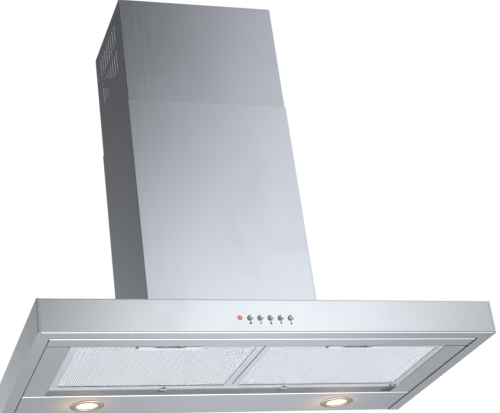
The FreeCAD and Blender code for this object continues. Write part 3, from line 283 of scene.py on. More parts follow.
def lit_glass(name, centre, glow, edge, radius):
    """Frosted lamp glass, lit from behind: bright in the middle and warmer towards its edge."""
    tree, shader, finish = new_finish(name, Base_Color=(1, 0.98, 0.93, 1), Emission_Strength=1.0,
                                      IOR=1.5, Metallic=0.0)
    place = add_node(tree, "ShaderNodeMapping", {"Vector": object_place(tree),
                                                 "Location": tuple(-c for c in centre)}).outputs[0]
    out = on_vectors(tree, "LENGTH", on_vectors(tree, "MULTIPLY", place, (1, 1, 0)))
    rim = mask_between(tree, out, radius * 0.45, radius)
    tree.links.new(blended(tree, rim, glow, edge), shader["Emission Color"])
    frost = place_group(tree, MOULDED_GRAIN, {"Size": 700.0, "Depth": 0.1})
    tree.links.new(fitted(tree, frost["Pebbles"], 0.3, 0.5), shader["Roughness"])
    tree.links.new(raised(tree, frost["Pebbles"], 0.0002, 0.4), shader["Normal"])
    return finish


def open_weave(name, colour, roughness):
    """A thin screen of fine threads, which lets a little light through between them."""
    tree, shader, finish = new_finish(name, Metallic=0.0)
    skin = place_group(tree, MOULDED_GRAIN, {"Size": 900.0, "Depth": 0.3})
    tree.links.new(shaded(tree, colour, skin["Shade"]), shader["Base Color"])
    rough = fitted(tree, skin["Pebbles"], roughness - 0.1, roughness + 0.1)
    tree.links.new(rough, shader["Roughness"])
    tree.links.new(fitted(tree, skin["Pebbles"], 0.3, 0.4), shader["Alpha"])
    tree.links.new(raised(tree, skin["Pebbles"], 0.0002, 0.4), shader["Normal"])
    return finish


CANOPY_GRAIN = (2.5, 340, 340)
CHIMNEY_GRAIN = (340, 340, 2.5)
# The roughness of 0.17 was chosen for the photograph's contrast. Nothing shows that the chimney's
# sheet differs from the canopy's, and its darker colour is a choice
CANOPY_STEEL = brushed_steel("brushed canopy steel", (0.78, 0.79, 0.80), 0.17, CANOPY_GRAIN)
CHIMNEY_STEEL = brushed_steel("brushed chimney steel", (0.68, 0.695, 0.72), 0.17, CHIMNEY_GRAIN)
# The same steel as the lower cover, painted darker as painted shade at the joint of the covers,
# only so that the joint shows as in the photograph
SHADED_UPPER_STEEL = brushed_steel("brushed upper cover steel painted darker", (0.635, 0.65, 0.675), 0.17, CHIMNEY_GRAIN)
FILTER_METAL = satin_metal("satin filter aluminium", (0.86, 0.87, 0.88), 0.3, (120, 120, 120))
SCREEN_METAL = satin_metal("pressed filter screen", (0.93, 0.935, 0.94), 0.58, (200, 200, 200))
# Both packs are painted dark, as painted shade in the depth of the mesh. Nothing shows that the
# real packs differ. Their greys differ only to bring each filter's brightness nearer to the
# photograph's
SHADED_MESH_PACK = {
    "left": satin_metal("left mesh pack painted dark", (0.28, 0.275, 0.27), 0.5, (250, 250, 250)),
    "right": satin_metal("right mesh pack painted dark", (0.52, 0.52, 0.52), 0.5, (250, 250, 250)),
}
LATCH_STEEL = satin_metal("pressed latch steel", (0.86, 0.87, 0.88), 0.42, (6, 300, 300))
ZINC = zinc_sheet("zinc coated sheet", (0.58, 0.60, 0.62))
SPRING_WIRE = satin_metal("drawn spring wire", (0.5, 0.5, 0.52), 0.28, (900, 900, 900))
CHROME = satin_metal("polished chrome", (0.80, 0.80, 0.81), 0.07, (400, 400, 400), depth=0.04)
LAMP_RING = satin_metal("satin lamp ring", (0.52, 0.47, 0.40), 0.24, (500, 500, 500), depth=0.05)
MIRROR = satin_metal("pressed reflector", (0.9, 0.9, 0.88), 0.15, (300, 300, 300), depth=0.06)
CERAMIC = moulded("white lamp ceramic", (0.92, 0.91, 0.88), 0.55)
DARK_PLASTIC = moulded("black switch plastic", (0.03, 0.03, 0.034), 0.45)
PALE_PLASTIC = moulded("pale box plastic", (0.74, 0.74, 0.72), 0.5)
BLOWER_PLASTIC = moulded("grey blower plastic", (0.13, 0.135, 0.145), 0.5, grain=700.0)
WHITE_PLASTIC = moulded("white sleeve plastic", (0.86, 0.86, 0.84), 0.4)
MOTOR_PAINT = moulded("black motor paint", (0.045, 0.047, 0.05), 0.38, grain=500.0)
# A guessed screen whose grey also stands in for the shade behind the vent slots
SHADE_SCREEN_WEAVE = open_weave("fine vent screen with painted shade", (0.4, 0.41, 0.42), 0.6)
INK = moulded("black printing ink", (0.012, 0.012, 0.014), 0.5, dust=0.0)
ORANGE = moulded("orange lens plastic", (0.66, 0.265, 0.14), 0.2, dust=0.0,
                 Emission_Color=(1.0, 0.32, 0.16, 1), Emission_Strength=0.35)
LAMP_GLOW = (1.0, 0.93, 0.72, 1)
LAMP_EDGE = (0.95, 0.70, 0.36, 1)
# The colour of a painted glow of lamplight on the lamp panel, light that the sheet gives out itself
PAINTED_HAZE_COLOUR = (0.40, 0.22, 0.07, 1)
HAZE_SCALE = 22                     # one over the haze's reach in metres
HAZE_SHIFT = (0.30, 0.20)           # how far its middle stands off the lamp, in reaches
SLOT_FINISH = {
    "stainless": CANOPY_STEEL, "filter_alloy": FILTER_METAL, "spring_steel": SPRING_WIRE,
    "chrome": CHROME, "reflector": MIRROR, "lamp_ceramic": CERAMIC, "galvanised": ZINC,
    "orange_lens": ORANGE, "dark_plastic": DARK_PLASTIC, "blower_plastic": BLOWER_PLASTIC,
    "motor_paint": MOTOR_PAINT, "white_plastic": WHITE_PLASTIC, "pale_plastic": PALE_PLASTIC,
}


def painted_haze_panel():
    """The canopy's steel with a faint warm haze beside each lamp. The haze is painted as light
    that the sheet gives out, a bell curve of the distance, because no lamp shines on it."""
    finish = CANOPY_STEEL.copy()
    finish.name = "brushed lamp panel steel with painted glow"
    tree = finish.node_tree
    shader = tree.nodes["Principled BSDF"].inputs
    place = object_place(tree)
    haze = 0.0
    for side, _ in SIDES:
        x, y, _ = middle_of("lamp_bezel_" + side)
        spot = add_node(tree, "ShaderNodeMapping", {
            "Vector": place, "Scale": (HAZE_SCALE, HAZE_SCALE, 0),
            "Location": (-x * HAZE_SCALE + HAZE_SHIFT[0], -y * HAZE_SCALE + HAZE_SHIFT[1], 0),
        }).outputs[0]
        squares = calculate(tree, "POWER", on_vectors(tree, "LENGTH", spot), 2.0)
        haze = calculate(tree, "ADD", bell_curve(tree, squares, 1.0), haze)
    tree.links.new(blended(tree, haze, (0, 0, 0, 1), PAINTED_HAZE_COLOUR), shader["Emission Color"])
    shader["Emission Strength"].default_value = 1.0
    return finish


def middle_of(node):
    """The middle of a node's box, in metres."""
    low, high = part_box(node)
    return (np.array(low) + np.array(high)) / 2


def give_finish(node, finish):
    """Give a solid of the frame its finish on all its faces."""
    mesh = frame["nodes"][node].data
    mesh.materials.clear()
    mesh.materials.append(finish)


def finish_frame():
    """Every solid of the frame gets the finish of its slot. The chimney's grain runs upright."""
    for part in frame["record"]["subparts"]:
        if part["material_slot"] in SLOT_FINISH:
            give_finish(part["node"], SLOT_FINISH[part["material_slot"]])
    give_finish("chimney_lower", CHIMNEY_STEEL)
    # The upper cover gets the steel painted darker: painted shade at the joint of the covers
    give_finish("chimney_upper", SHADED_UPPER_STEEL)
    for side, _ in SIDES:
        # Each filter's pack gets its grey, which is painted shade in the depth of the mesh
        give_finish("filter_core_" + side, SHADED_MESH_PACK[side])
        give_finish("filter_latch_" + side, LATCH_STEEL)
    give_finish("filter_ledge", LATCH_STEEL)
    # The lamp panel gets a painted glow of lamplight beside each lamp
    give_finish("lamp_panel", painted_haze_panel())


# Shapes from grids of points

FACING = {
    "up": np.array([(1, 0, 0), (0, 1, 0), (0, 0, 1)], float),
    "down": np.array([(1, 0, 0), (0, -1, 0), (0, 0, -1)], float),
    "front": np.array([(1, 0, 0), (0, 0, 1), (0, -1, 0)], float),
    "left": np.array([(0, -1, 0), (0, 0, 1), (-1, 0, 0)], float),
    "right": np.array([(0, 1, 0), (0, 0, 1), (1, 0, 0)], float),
}


def grid_faces(rows, columns, around=True):
    """Quads between neighbouring points of a grid. around joins the last column to the first."""
    row, column = np.meshgrid(np.arange(rows - 1), np.arange(columns if around else columns - 1),
                              indexing="ij")
    after = (column + 1) % columns
    corners = (row * columns + column, row * columns + after,
               (row + 1) * columns + after, (row + 1) * columns + column)
    return np.stack(corners, axis=-1).reshape(-1, 4)


def softened(points, radius, steps=5, closed=False):
    """A line of points with its corners cut to smooth bends. Each bend is a weighted mean of the
    corner and two points on its sides, with squared weights that run from one side to the other."""
    points = np.asarray(points, float)
    before, after = np.roll(points, 1, axis=0) - points, np.roll(points, -1, axis=0) - points
    room = [np.minimum(radius / np.maximum(np.linalg.norm(way, axis=1), 1e-9), 0.49)
            for way in (before, after)]
    start, end = points + before * room[0][:, None], points + after * room[1][:, None]
    along = np.linspace(0, 1, steps)[None, :, None]
    bends = ((1 - along) ** 2 * start[:, None] + 2 * along * (1 - along) * points[:, None]
             + along ** 2 * end[:, None])
    if closed:
        return bends.reshape(-1, points.shape[1])
    return np.concatenate([points[:1], bends[1:-1].reshape(-1, points.shape[1]), points[-1:]])


def turned_shape(profile, middle, facing, segments=72, ripple=0.0, teeth=0):
    """A profile of (radius, height) points carried round a circle. The point at angle a is
    (radius cos a, radius sin a, height), and a ripple lifts each radius by a cosine of its
    teeth."""
    turn = np.linspace(0, 2 * np.pi, segments, endpoint=False)[None, :]
    radius, height = np.asarray(profile, float).T[:, :, None]
    radius = radius * (1 + ripple * np.cos(teeth * turn))
    points = np.stack([radius * np.cos(turn), radius * np.sin(turn), height + 0 * turn], axis=-1)
    points = points.reshape(-1, 3) @ FACING[facing] + np.asarray(middle)
    return points, grid_faces(len(profile), segments)


def carried_shape(section, path, height):
    """A section of (outward, up) points carried along a flat path: at each point of the path the
    section is pushed out along the mean of its two sides' normals, lengthened at the mitres."""
    path, section = np.asarray(path, float), np.asarray(section, float)
    side = np.diff(path, axis=0)
    side /= np.linalg.norm(side, axis=1, keepdims=True)
    normal = np.stack([side[:, 1], -side[:, 0]], axis=1)
    first, last = np.vstack([normal[:1], normal]), np.vstack([normal, normal[-1:]])
    mean = first + last
    mean /= np.sum(mean * first, axis=1, keepdims=True)
    flat = path[:, None] + mean[:, None] * section[None, :, :1]
    up = np.broadcast_to(section[None, :, 1:] + height, flat[..., :1].shape)
    points = np.concatenate([flat, up], axis=-1)
    start, end = (points[place].mean(axis=0, keepdims=True).repeat(len(section), axis=0)
                  for place in (0, -1))
    points = np.concatenate([start[None], points, end[None]])
    return points.reshape(-1, 3), grid_faces(len(path) + 2, len(section))


def pan_head(place, radius, height, facing, rings=8, segments=32):
    """A screw head on a polar grid. Its height is a flattened dome, less a pit shaped like a
    cross."""
    out = np.append(np.linspace(0, 1, rings), 1.0)[:, None]
    turn = np.linspace(0, 2 * np.pi, segments, endpoint=False)[None, :]
    across, along = out * np.cos(turn), out * np.sin(turn)
    near, far = np.minimum(abs(across), abs(along)), np.maximum(abs(across), abs(along))
    pit = np.clip(3 - near / 0.06, 0, 1) * np.clip((0.62 - far) / 0.1, 0, 1)
    rise = height * (np.sqrt(1 - 0.85 * out ** 4) - 0.55 * pit)
    rise[-1] = 0
    points = np.stack([radius * across, radius * along, rise], axis=-1).reshape(-1, 3)
    points = np.vstack([points, np.zeros((segments, 3))])
    return points @ FACING[facing] + np.asarray(place), grid_faces(rings + 2, segments)


def perforated_sheet(low, high, height, pitch, hole, notch):
    """A sheet of round holes in lines that run front to back. Each cell joins eight points on its
    border to eight on its hole, and every second line is moved by half a pitch. Cells whose middle
    is in the notch, given as (left, right, rear), are left out."""
    apart = pitch * math.sqrt(3) / 2
    columns, rows = int((high[0] - low[0]) / apart), int((high[1] - low[1]) / pitch - 0.5)
    row, column = np.meshgrid(np.arange(rows), np.arange(columns), indexing="ij")
    start = (np.asarray(low) + high - (columns * apart, rows * pitch + pitch / 2)) / 2
    middle = np.stack([start[0] + (column + 0.5) * apart,
                       start[1] + (row + 0.5 + 0.5 * (column % 2)) * pitch], axis=-1).reshape(-1, 2)
    inside = (middle[:, 0] > notch[0]) & (middle[:, 0] < notch[1]) & (middle[:, 1] < notch[2])
    middle = middle[~inside][:, None]
    border = np.array([(1, 0), (1, 1), (0, 1), (-1, 1), (-1, 0), (-1, -1), (0, -1), (1, -1)])
    turn = np.arange(8) * np.pi / 4
    ring = np.stack([np.cos(turn), np.sin(turn)], axis=1) * hole / 2
    cell = np.concatenate([border * (apart / 2, pitch / 2), ring])[None]
    flat = (middle + cell).reshape(-1, 2)
    points = np.column_stack([flat, np.full(len(flat), height)])
    k = np.arange(8)
    quads = np.stack([k, (k + 1) % 8, (k + 1) % 8 + 8, k + 8], axis=1)
    faces = quads[None] + 16 * np.arange(len(middle))[:, None, None]
    return points, faces.reshape(-1, 4)


def flat_plates(plates, height):
    """Flat rectangles at one height, each given as (left, front, right, rear)."""
    left, front, right, rear = np.asarray(plates, float).T
    corners = np.stack([np.stack(pair, axis=-1) for pair in
                        ((left, front), (right, front), (right, rear), (left, rear))], axis=1)
    flat = corners.reshape(-1, 2)
    return np.column_stack([flat, np.full(len(flat), height)]), np.arange(len(flat)).reshape(-1, 4)


def add_piece(name, shapes, finish, body, replaces=(), angle=35, thickness=None):
    """One mesh from several shapes, with doubles merged and faces turned outwards."""
    points, faces, first = [], [], 0
    for shape_points, shape_faces in shapes:
        points.append(shape_points)
        faces.append(np.asarray(shape_faces) + first)
        first += len(shape_points)
    mesh = bpy.data.meshes.new(name)
    mesh.from_pydata(np.vstack(points).tolist(), [], np.vstack(faces).tolist())
    form = bmesh.new()
    form.from_mesh(mesh)
    bmesh.ops.remove_doubles(form, verts=form.verts, dist=0.000002)
    bmesh.ops.dissolve_degenerate(form, edges=form.edges, dist=0.000001)
    bmesh.ops.recalc_face_normals(form, faces=form.faces)
    form.to_mesh(mesh)
    form.free()
    finish_piece(name, mesh, finish, body, replaces, angle, thickness)


def finish_piece(name, mesh, finish, body, replaces=(), angle=35, thickness=None):
    """Smooth a mesh but for edges past an angle, paint it, give a sheet its thickness, and let it
    ride."""
    mesh.shade_smooth()
    mesh.set_sharp_from_angle(angle=math.radians(angle))
    mesh.materials.append(finish)
    piece = bpy.data.objects.new(name, mesh)
    bpy.context.scene.collection.objects.link(piece)
    if thickness:
        sheet = piece.modifiers.new("thickness", "SOLIDIFY")
        sheet.thickness, sheet.offset = thickness, 0
    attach(piece, body)
    if replaces:
        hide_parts(*replaces)


# The lamps

# Each point of the ring's outline: how far in from the rim, and how high, in millimetres
LAMP_RING_LINE = ((0, 0), (0.2, 1.1), (1.6, 1.9), (3.0, 2.3), (10.6, 2.1), (12.4, 1.5),
                  (13, 0.2), (13, -2.2), (6, -2.2), (5, 0), (0, 0))
LENS_INSET, LENS_DEEP, LENS_RISE = 13.2 * MM, 2.6 * MM, 1.1 * MM
LENS_RINGS, LENS_RIPPLE = 6, 0.1 * MM


def make_lamps():
    """Each lamp has a wide flat ring, and a shallow frosted lens with rings pressed in it. The
    lens's height falls with the square of the distance from its middle, plus a small cosine."""
    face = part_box("lamp_panel")[0].z
    for side, _ in SIDES:
        x, y, _ = middle_of("lamp_bezel_" + side)
        low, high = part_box("lamp_bezel_" + side)
        radius = (high.x - low.x) / 2
        ring = softened(np.array(LAMP_RING_LINE) * (-MM, MM) + (radius, 0), 0.7 * MM)
        add_piece("lamp_ring_" + side, [turned_shape(ring, (x, y, face), "down", 96)], LAMP_RING,
                  "hood", ["lamp_bezel_" + side], angle=60)
        glass_radius = radius - LENS_INSET
        out = np.linspace(1, 0, 40)
        dome = LENS_RISE * (1 - out ** 2) + LENS_RIPPLE * np.cos(out * 2 * np.pi * LENS_RINGS)
        front = np.column_stack([out * glass_radius, dome])
        rear = [(0, -LENS_DEEP), (glass_radius, -LENS_DEEP), (glass_radius, dome[0])]
        lens = np.vstack([front, rear])
        glass = lit_glass("lit glass " + side, (x, y, 0), LAMP_GLOW, LAMP_EDGE, glass_radius)
        add_piece("lamp_glass_" + side, [turned_shape(lens, (x, y, face), "down", 72)], glass,
                  "hood", ["lamp_lens_" + side], angle=50)


# The controls

BUTTONS = (("button_off", "0"), ("button_speed_1", "1"), ("button_speed_2", "2"),
           ("button_speed_3", "3"), ("button_light", "L"))
MARK_DROP, MARK_SIZE, MARK_HIGH, MARK_BOLD = 10.6 * MM, 5.6 * MM, 0.05 * MM, 0.62 * MM
JEWEL_RADIUS, JEWEL_RISE, JEWEL_SUNK, JEWEL_DEEP = 4.2 * MM, 1.1 * MM, 0.5 * MM, 3 * MM
CAP_RADIUS, CROWN_FALL, CROWN_EDGE, DISH_DEEP = 5.5 * MM, 2.3 * MM, 0.3 * MM, 1.5 * MM
FLANGE_FRONT, FLANGE_REAR, STEM_RADIUS = -1.3 * MM, -2.8 * MM, 2.5 * MM


def make_controls():
    """Turned button caps, a mark printed below each, and the jewel of the indicator, whose height
    is an arc of an ellipse."""
    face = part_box("fascia")[0].y
    for node, mark in BUTTONS:
        x, _, z = middle_of(node)
        add_piece(node + "_cap", [turned_shape(button_profile(node), (x, face, z), "front", 72)],
                  CHROME, node, [node], angle=50)
        print_mark("mark_" + node.replace("button_", ""), mark, (x, face, z - MARK_DROP))
    x, _, z = middle_of("indicator_lens")
    out = np.linspace(1, 0, 16)
    jewel = np.column_stack([out * JEWEL_RADIUS,
                             JEWEL_RISE * np.sqrt(1 - 0.75 * out ** 2) - JEWEL_SUNK])
    jewel = np.vstack([[(JEWEL_RADIUS, -JEWEL_DEEP)], jewel])
    add_piece("indicator_jewel", [turned_shape(jewel, (x, face - 0.4 * MM, z), "front", 48)],
              ORANGE, "hood", ["indicator_lens"], angle=60)


def button_profile(node):
    """A push button turned from a bar: a domed cap with a fine groove below its edge, a flange
    that stops behind the fascia, and a thin stem. The dome falls with a power of the distance
    from its middle, and the light switch's cap has a bell-shaped dish."""
    low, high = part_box(node)
    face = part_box("fascia")[0].y
    top, stem, flange = face - low.y, face - high.y, (high.x - low.x) / 2
    out = np.linspace(0, 1, 14)
    crown = top - CROWN_FALL * out ** 2.4
    if node == "button_light":
        crown -= DISH_DEEP * np.exp(-(out / 0.42) ** 2)
    dome = np.column_stack([out * (CAP_RADIUS - CROWN_EDGE / 2), crown])
    skirt = np.array([
        (CAP_RADIUS, top - CROWN_FALL - CROWN_EDGE), (CAP_RADIUS, 1.1 * MM),
        (CAP_RADIUS - CROWN_EDGE, 0.95 * MM), (CAP_RADIUS, 0.8 * MM),
        (CAP_RADIUS, FLANGE_FRONT), (flange, FLANGE_FRONT), (flange, FLANGE_REAR),
        (STEM_RADIUS, FLANGE_REAR), (STEM_RADIUS, stem), (0, stem)])
    return np.vstack([dome, skirt])


def print_mark(name, text, place):
    """A printed figure or letter, as a thin plate of ink on the fascia."""
    font = bpy.data.curves.new(name, "FONT")
    font.body, font.size, font.extrude, font.offset = text, MARK_SIZE, MARK_HIGH, MARK_BOLD
    font.align_x, font.align_y = "CENTER", "CENTER"
    letter = bpy.data.objects.new(name + " outline", font)
    bpy.context.scene.collection.objects.link(letter)
    bpy.context.view_layer.update()
    mesh = bpy.data.meshes.new_from_object(letter)
    bpy.data.objects.remove(letter)
    mesh.name = name
    mesh.transform(Matrix.Translation(place) @ Matrix.Rotation(math.pi / 2, 4, "X"))
    mesh.materials.clear()
    finish_piece(name, mesh, INK, "hood", angle=30)


# The grease filters

WINDOW_HALF, WINDOW_FRONT, WINDOW_REAR = 173 * MM, -395 * MM, -176 * MM
HOLE_PITCH, HOLE_WIDE = 5.24 * MM, 3.3 * MM
LAP = 3 * MM                                     # how far the holed part runs past the window
LATCH_HALF, LATCH_REAR = 23.4 * MM, -385.1 * MM  # the opening that the latch slides in
PLAIN_HALF, PLAIN_REAR = 28 * MM, -382 * MM      # the plain metal round that opening
BARE_HALF, BARE_REAR = 26 * MM, -382.6 * MM      # holes nearer to the latch are left out
LIP_GAP = 27 * MM                                # where the lip stops beside the latch


def make_filters():
    """Each cassette gets its sheet of small holes and the rolled lip round its window."""
    for side, _ in SIDES:
        body, frame_low = "filter_" + side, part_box("filter_frame_" + side)[0]
        low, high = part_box("filter_mesh_" + side)
        middle, height = (low.x + high.x) / 2, low.z + 0.3 * MM
        left, right = middle - WINDOW_HALF, middle + WINDOW_HALF
        holes = perforated_sheet(
            (left - LAP, WINDOW_FRONT - LAP), (right + LAP, WINDOW_REAR + LAP), height, HOLE_PITCH,
            HOLE_WIDE, (middle - BARE_HALF, middle + BARE_HALF, BARE_REAR))
        border = flat_plates(plain_border(low, high, middle), height + 0.02 * MM)
        add_piece("filter_screen_" + side, [holes, border], SCREEN_METAL, body,
                  ["filter_mesh_" + side], thickness=0.2 * MM)
        bead = softened([(0.05 * MM, -0.1 * MM), (0.05 * MM, 1.1 * MM), (-1.3 * MM, 1.1 * MM),
                         (-1.3 * MM, 0.3 * MM)], 0.6 * MM, closed=True)
        path = [(middle - LIP_GAP, WINDOW_FRONT), (left, WINDOW_FRONT), (left, WINDOW_REAR),
                (right, WINDOW_REAR), (right, WINDOW_FRONT), (middle + LIP_GAP, WINDOW_FRONT)]
        add_piece("filter_lip_" + side, [carried_shape(bead[::-1], path, frame_low.z)],
                  FILTER_METAL, body, angle=50)


def plain_border(low, high, middle):
    """The unpierced strips of a filter sheet, as (left, front, right, rear): one on each side, one
    at the rear, two at the front, and three round the opening for the latch."""
    edge = 0.3 * MM
    outer_left, outer_front = low.x + edge, low.y + edge
    outer_right, outer_rear = high.x - edge, high.y - edge
    left, right = middle - WINDOW_HALF - MM, middle + WINDOW_HALF + MM
    front, rear = WINDOW_FRONT - MM, WINDOW_REAR + MM
    latch_left, latch_right = middle - LATCH_HALF, middle + LATCH_HALF
    return [
        (outer_left, outer_front, left, outer_rear), (right, outer_front, outer_right, outer_rear),
        (left, rear, right, outer_rear),
        (left, outer_front, latch_left, front), (latch_right, outer_front, right, front),
        (middle - PLAIN_HALF, front, latch_left, PLAIN_REAR),
        (latch_right, front, middle + PLAIN_HALF, PLAIN_REAR),
        (latch_left, LATCH_REAR, latch_right, PLAIN_REAR)]


# Fixings, mostly on the parts behind the covers

def rounded_plate(low, high, base, top, radius, edge, facing="up", steps=6):
    """A plate on a rectangle with round corners. Each ring is the four corner arcs drawn in by an
    inset, and the inset grows along a quarter circle at the upper edge."""
    low, high = np.asarray(low, float), np.asarray(high, float)
    turn = np.linspace(0, np.pi / 2, steps)
    corners = ((high[0], high[1]), (low[0], high[1]), (low[0], low[1]), (high[0], low[1]))
    centres, angles = [], []
    for quarter, (x, y) in enumerate(corners):
        inner = np.clip((x, y), low + radius, high - radius)
        centres.append(np.repeat(inner[None], steps, axis=0))
        angles.append(turn + quarter * np.pi / 2)
    centres, angles = np.vstack(centres), np.concatenate(angles)
    bend = np.linspace(0, np.pi / 2, 5)
    inset = np.concatenate([[0], edge * (1 - np.cos(bend))])[:, None]
    rise = np.concatenate([[base], top - edge * (1 - np.sin(bend))])[:, None]
    ring = np.stack([centres[:, 0] + (radius - inset) * np.cos(angles),
                     centres[:, 1] + (radius - inset) * np.sin(angles),
                     rise + 0 * angles], axis=-1)
    closing = np.array([(*((low + high) / 2), level) for level in (base, top)])[:, None]
    closing = np.broadcast_to(closing, (2, len(angles), 3))
    points = np.concatenate([closing[:1], ring, closing[1:]])
    return points.reshape(-1, 3) @ FACING[facing], grid_faces(len(points), len(angles))


def spots(across, along):
    """Every pair of two lists of lengths given in millimetres, in metres."""
    return [(x * MM, y * MM) for x in across for y in along]


# Rows of fixings: their places across and along, in millimetres
COLLAR_SCREWS = (-80, 80), (-80, 80)
FLANGE_SCREWS = (-165.5, 165.5), (-210, -120, -30)
BOX_RIVETS = (-228, -120, -12), (-110, 118)
LEDGE_SCREWS = (-373, 373), (-140,)
DUCT_PLACE, DUCT_RADIUS = -120 * MM, 75 * MM
BOX_HALF = 160 * MM


def make_duct_fixings():
    """The screws of the outlet collar, and the bead near its mouth that grips the duct."""
    low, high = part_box("outlet_collar")
    heads = [pan_head((x, y + DUCT_PLACE, low.z + 1.2 * MM), 3.4 * MM, 1.9 * MM, "up")
             for x, y in spots(*COLLAR_SCREWS)]
    add_piece("collar_screws", heads, ZINC, "hood", angle=40)
    bead = softened([(0, -3), (0.7, -2), (1.6, 0), (0.7, 2), (0, 3)], 1.2)
    bead = np.vstack([[(-0.2, 3)], bead[::-1], [(-0.2, -3)], [(-0.2, 3)]]) * MM + (DUCT_RADIUS, 0)
    add_piece("duct_bead", [turned_shape(bead, (0, DUCT_PLACE, high.z - 9 * MM), "up", 96)],
              BLOWER_PLASTIC, "hood", angle=60)


def make_terminal_fixings():
    """The terminal box's lid and its screws, and the ribbed nut of the cable gland."""
    low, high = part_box("terminal_box")
    over, inset = 0.4 * MM, 6 * MM
    lid = rounded_plate((low.x - over, low.y - over), (high.x + over, high.y + over),
                        high.z - 6 * MM, high.z + 0.6 * MM, 3 * MM, 1.2 * MM)
    add_piece("terminal_lid", [lid], PALE_PLASTIC, "hood", angle=40)
    heads = [pan_head((x, y, high.z + 0.6 * MM), 2.2 * MM, 1.1 * MM, "up")
             for x in (low.x + inset, high.x - inset) for y in (low.y + inset, high.y - inset)]
    add_piece("terminal_screws", heads, SPRING_WIRE, "hood", angle=40)
    x, y, _ = middle_of("cable_gland")
    low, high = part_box("cable_gland")
    radius = (high.x - low.x) / 2
    inner, outer = radius * 0.6, radius + 0.6 * MM
    nut = softened([(inner, 0), (outer, 0), (outer, 5 * MM), (radius - 0.6 * MM, 6.4 * MM),
                    (inner, 6.4 * MM)], 0.8 * MM)
    nut = turned_shape(np.vstack([nut, nut[:1]]), (x, y, low.z + 1.2 * MM), "up", 96,
                       ripple=0.035, teeth=12)
    add_piece("gland_nut", [nut], DARK_PLASTIC, "hood", angle=50)


def make_sheet_fixings():
    """The screws and rivets of the folded sheets."""
    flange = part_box("canopy_shell")[1].z + 1.3 * MM
    heads = [pan_head((x, y, flange), 3.6 * MM, 2.0 * MM, "up") for x, y in spots(*FLANGE_SCREWS)]
    add_piece("flange_screws", heads, ZINC, "hood", angle=40)
    rivets = [rivet((way * BOX_HALF, y, z), 2.6 * MM, side)
              for side, way in SIDES for y, z in spots(*BOX_RIVETS)]
    add_piece("box_rivets", rivets, ZINC, "hood", angle=50)
    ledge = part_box("filter_ledge")[0].z + 2 * MM
    heads = [pan_head((x, y, ledge), 3.0 * MM, 1.6 * MM, "down") for x, y in spots(*LEDGE_SCREWS)]
    add_piece("ledge_screws", heads, DARK_PLASTIC, "hood", angle=40)


STOP_GAP, STOP_WIDE, STOP_LONG, STOP_PROUD = 0.8 * MM, 4.8 * MM, 7.2 * MM, 0.4 * MM


def make_latch_stops():
    """A small black stop pad near the left end of each latch plate. The pad faces down, so its
    lengths along y and z are given with their signs changed."""
    for side, _ in SIDES:
        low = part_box("filter_latch_" + side)[0]
        left, front, face = low.x + STOP_GAP, -low.y - STOP_GAP, -low.z
        pad = rounded_plate((left, front - STOP_LONG), (left + STOP_WIDE, front), face - 0.3 * MM,
                            face + STOP_PROUD, 1.2 * MM, 0.2 * MM, "down")
        add_piece("latch_stop_" + side, [pad], DARK_PLASTIC, "latch_" + side,
                  angle=40)


VENT_FRONT, VENT_REAR, VENT_LOW, VENT_HIGH = -222 * MM, -34 * MM, 522 * MM, 664 * MM
THREAD_PITCH, THREAD_HIGH = 8 * MM, 0.05 * MM


def make_vent_screens():
    """A woven screen behind each side's vent slots, a guess whose grey also stands in for the shade
    inside the cover and dims what shows through the slots: a sheet whose depth is the sum of two
    sines that cross, like threads."""
    rows, columns = 95, 72
    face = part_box("chimney_upper")[1].x - 2.0 * MM
    y, z = np.meshgrid(np.linspace(VENT_FRONT, VENT_REAR, rows),
                       np.linspace(VENT_LOW, VENT_HIGH, columns), indexing="ij")
    turn = 2 * np.pi / THREAD_PITCH
    weave = THREAD_HIGH * (np.sin(y * turn) + np.sin(z * turn))
    for side, way in SIDES:
        points = np.stack([way * (face + weave), y, z], axis=-1).reshape(-1, 3)
        add_piece("vent_screen_" + side, [(points, grid_faces(rows, columns, around=False))],
                  SHADE_SCREEN_WEAVE, "upper_cover", thickness=0.3 * MM)


def rivet(place, radius, facing):
    """A closed rivet's low dome, whose height falls with the square of the distance from its
    middle."""
    out = np.linspace(1, 0, 7)
    profile = np.column_stack([out, 0.45 * (1 - out ** 2)]) * radius
    return turned_shape(np.vstack([[(0, 0)], profile]), place, facing, 20)


# Stage, lights and camera

# Patches of light: azimuth from the front, elevation, width and height in degrees, and strength.
# The first ones came from a least-squares fit of the render to the photograph's tones at 44 places.
# Four are still the fit's, with strengths 1.09, 0.33, 0.84 and 0.56. The others were changed or
# added by trial, against the same photograph or for the views from other sides
ROOM_LIGHT, SKY_TINT = 0.03, (0.95, 0.98, 1.03)
SKY_PATCHES = (
    (13, 6, 7, 7, 1.09),
    (22, 6, 7, 7, 0.33),
    (22.5, 20, 6.3, 6, 1.12),
    (16, 21, 2, 5, 0.35),
    (25, 33, 3.3, 6, 0.72),
    (35, 37, 6, 8, 0.08),
    (30, 20, 4, 4, 0.08),
    (-178, 12, 9, 9, 0.84),
    (-164, 30, 9, 12, 0.05),
    (64, 34, 14, 14, 1.5),
    (-95, 9, 30, 11, 0.5),
    (-32, 6, 18, 10, 0.5),
    (-18, 34, 12, 12, 0.45),
    (100, 38, 26, 20, 1.3),
    (0, 90, 400, 22, 0.8),
)
FLOOR_LIGHT, FLOOR_TINT = 0.03, (0.92, 0.965, 1.03, 1)
FLOOR_PATCHES = (
    (172, -12, 9, 7, 0.17),
    (158, -24, 8, 7, 0.44),
    (158, -42, 30, 7, 1.1),
    (10, -17, 15, 9, 0.3),
    (110, -35, 20, 14, 0.56),
    (-150, -35, 20, 14, 0.7),
    (150, -72, 60, 12, 4.7),
    (75, -18, 28, 16, 0.5),
    (-108, -20, 26, 14, 0.5),
)
WHITE = (1, 1, 1, 1)


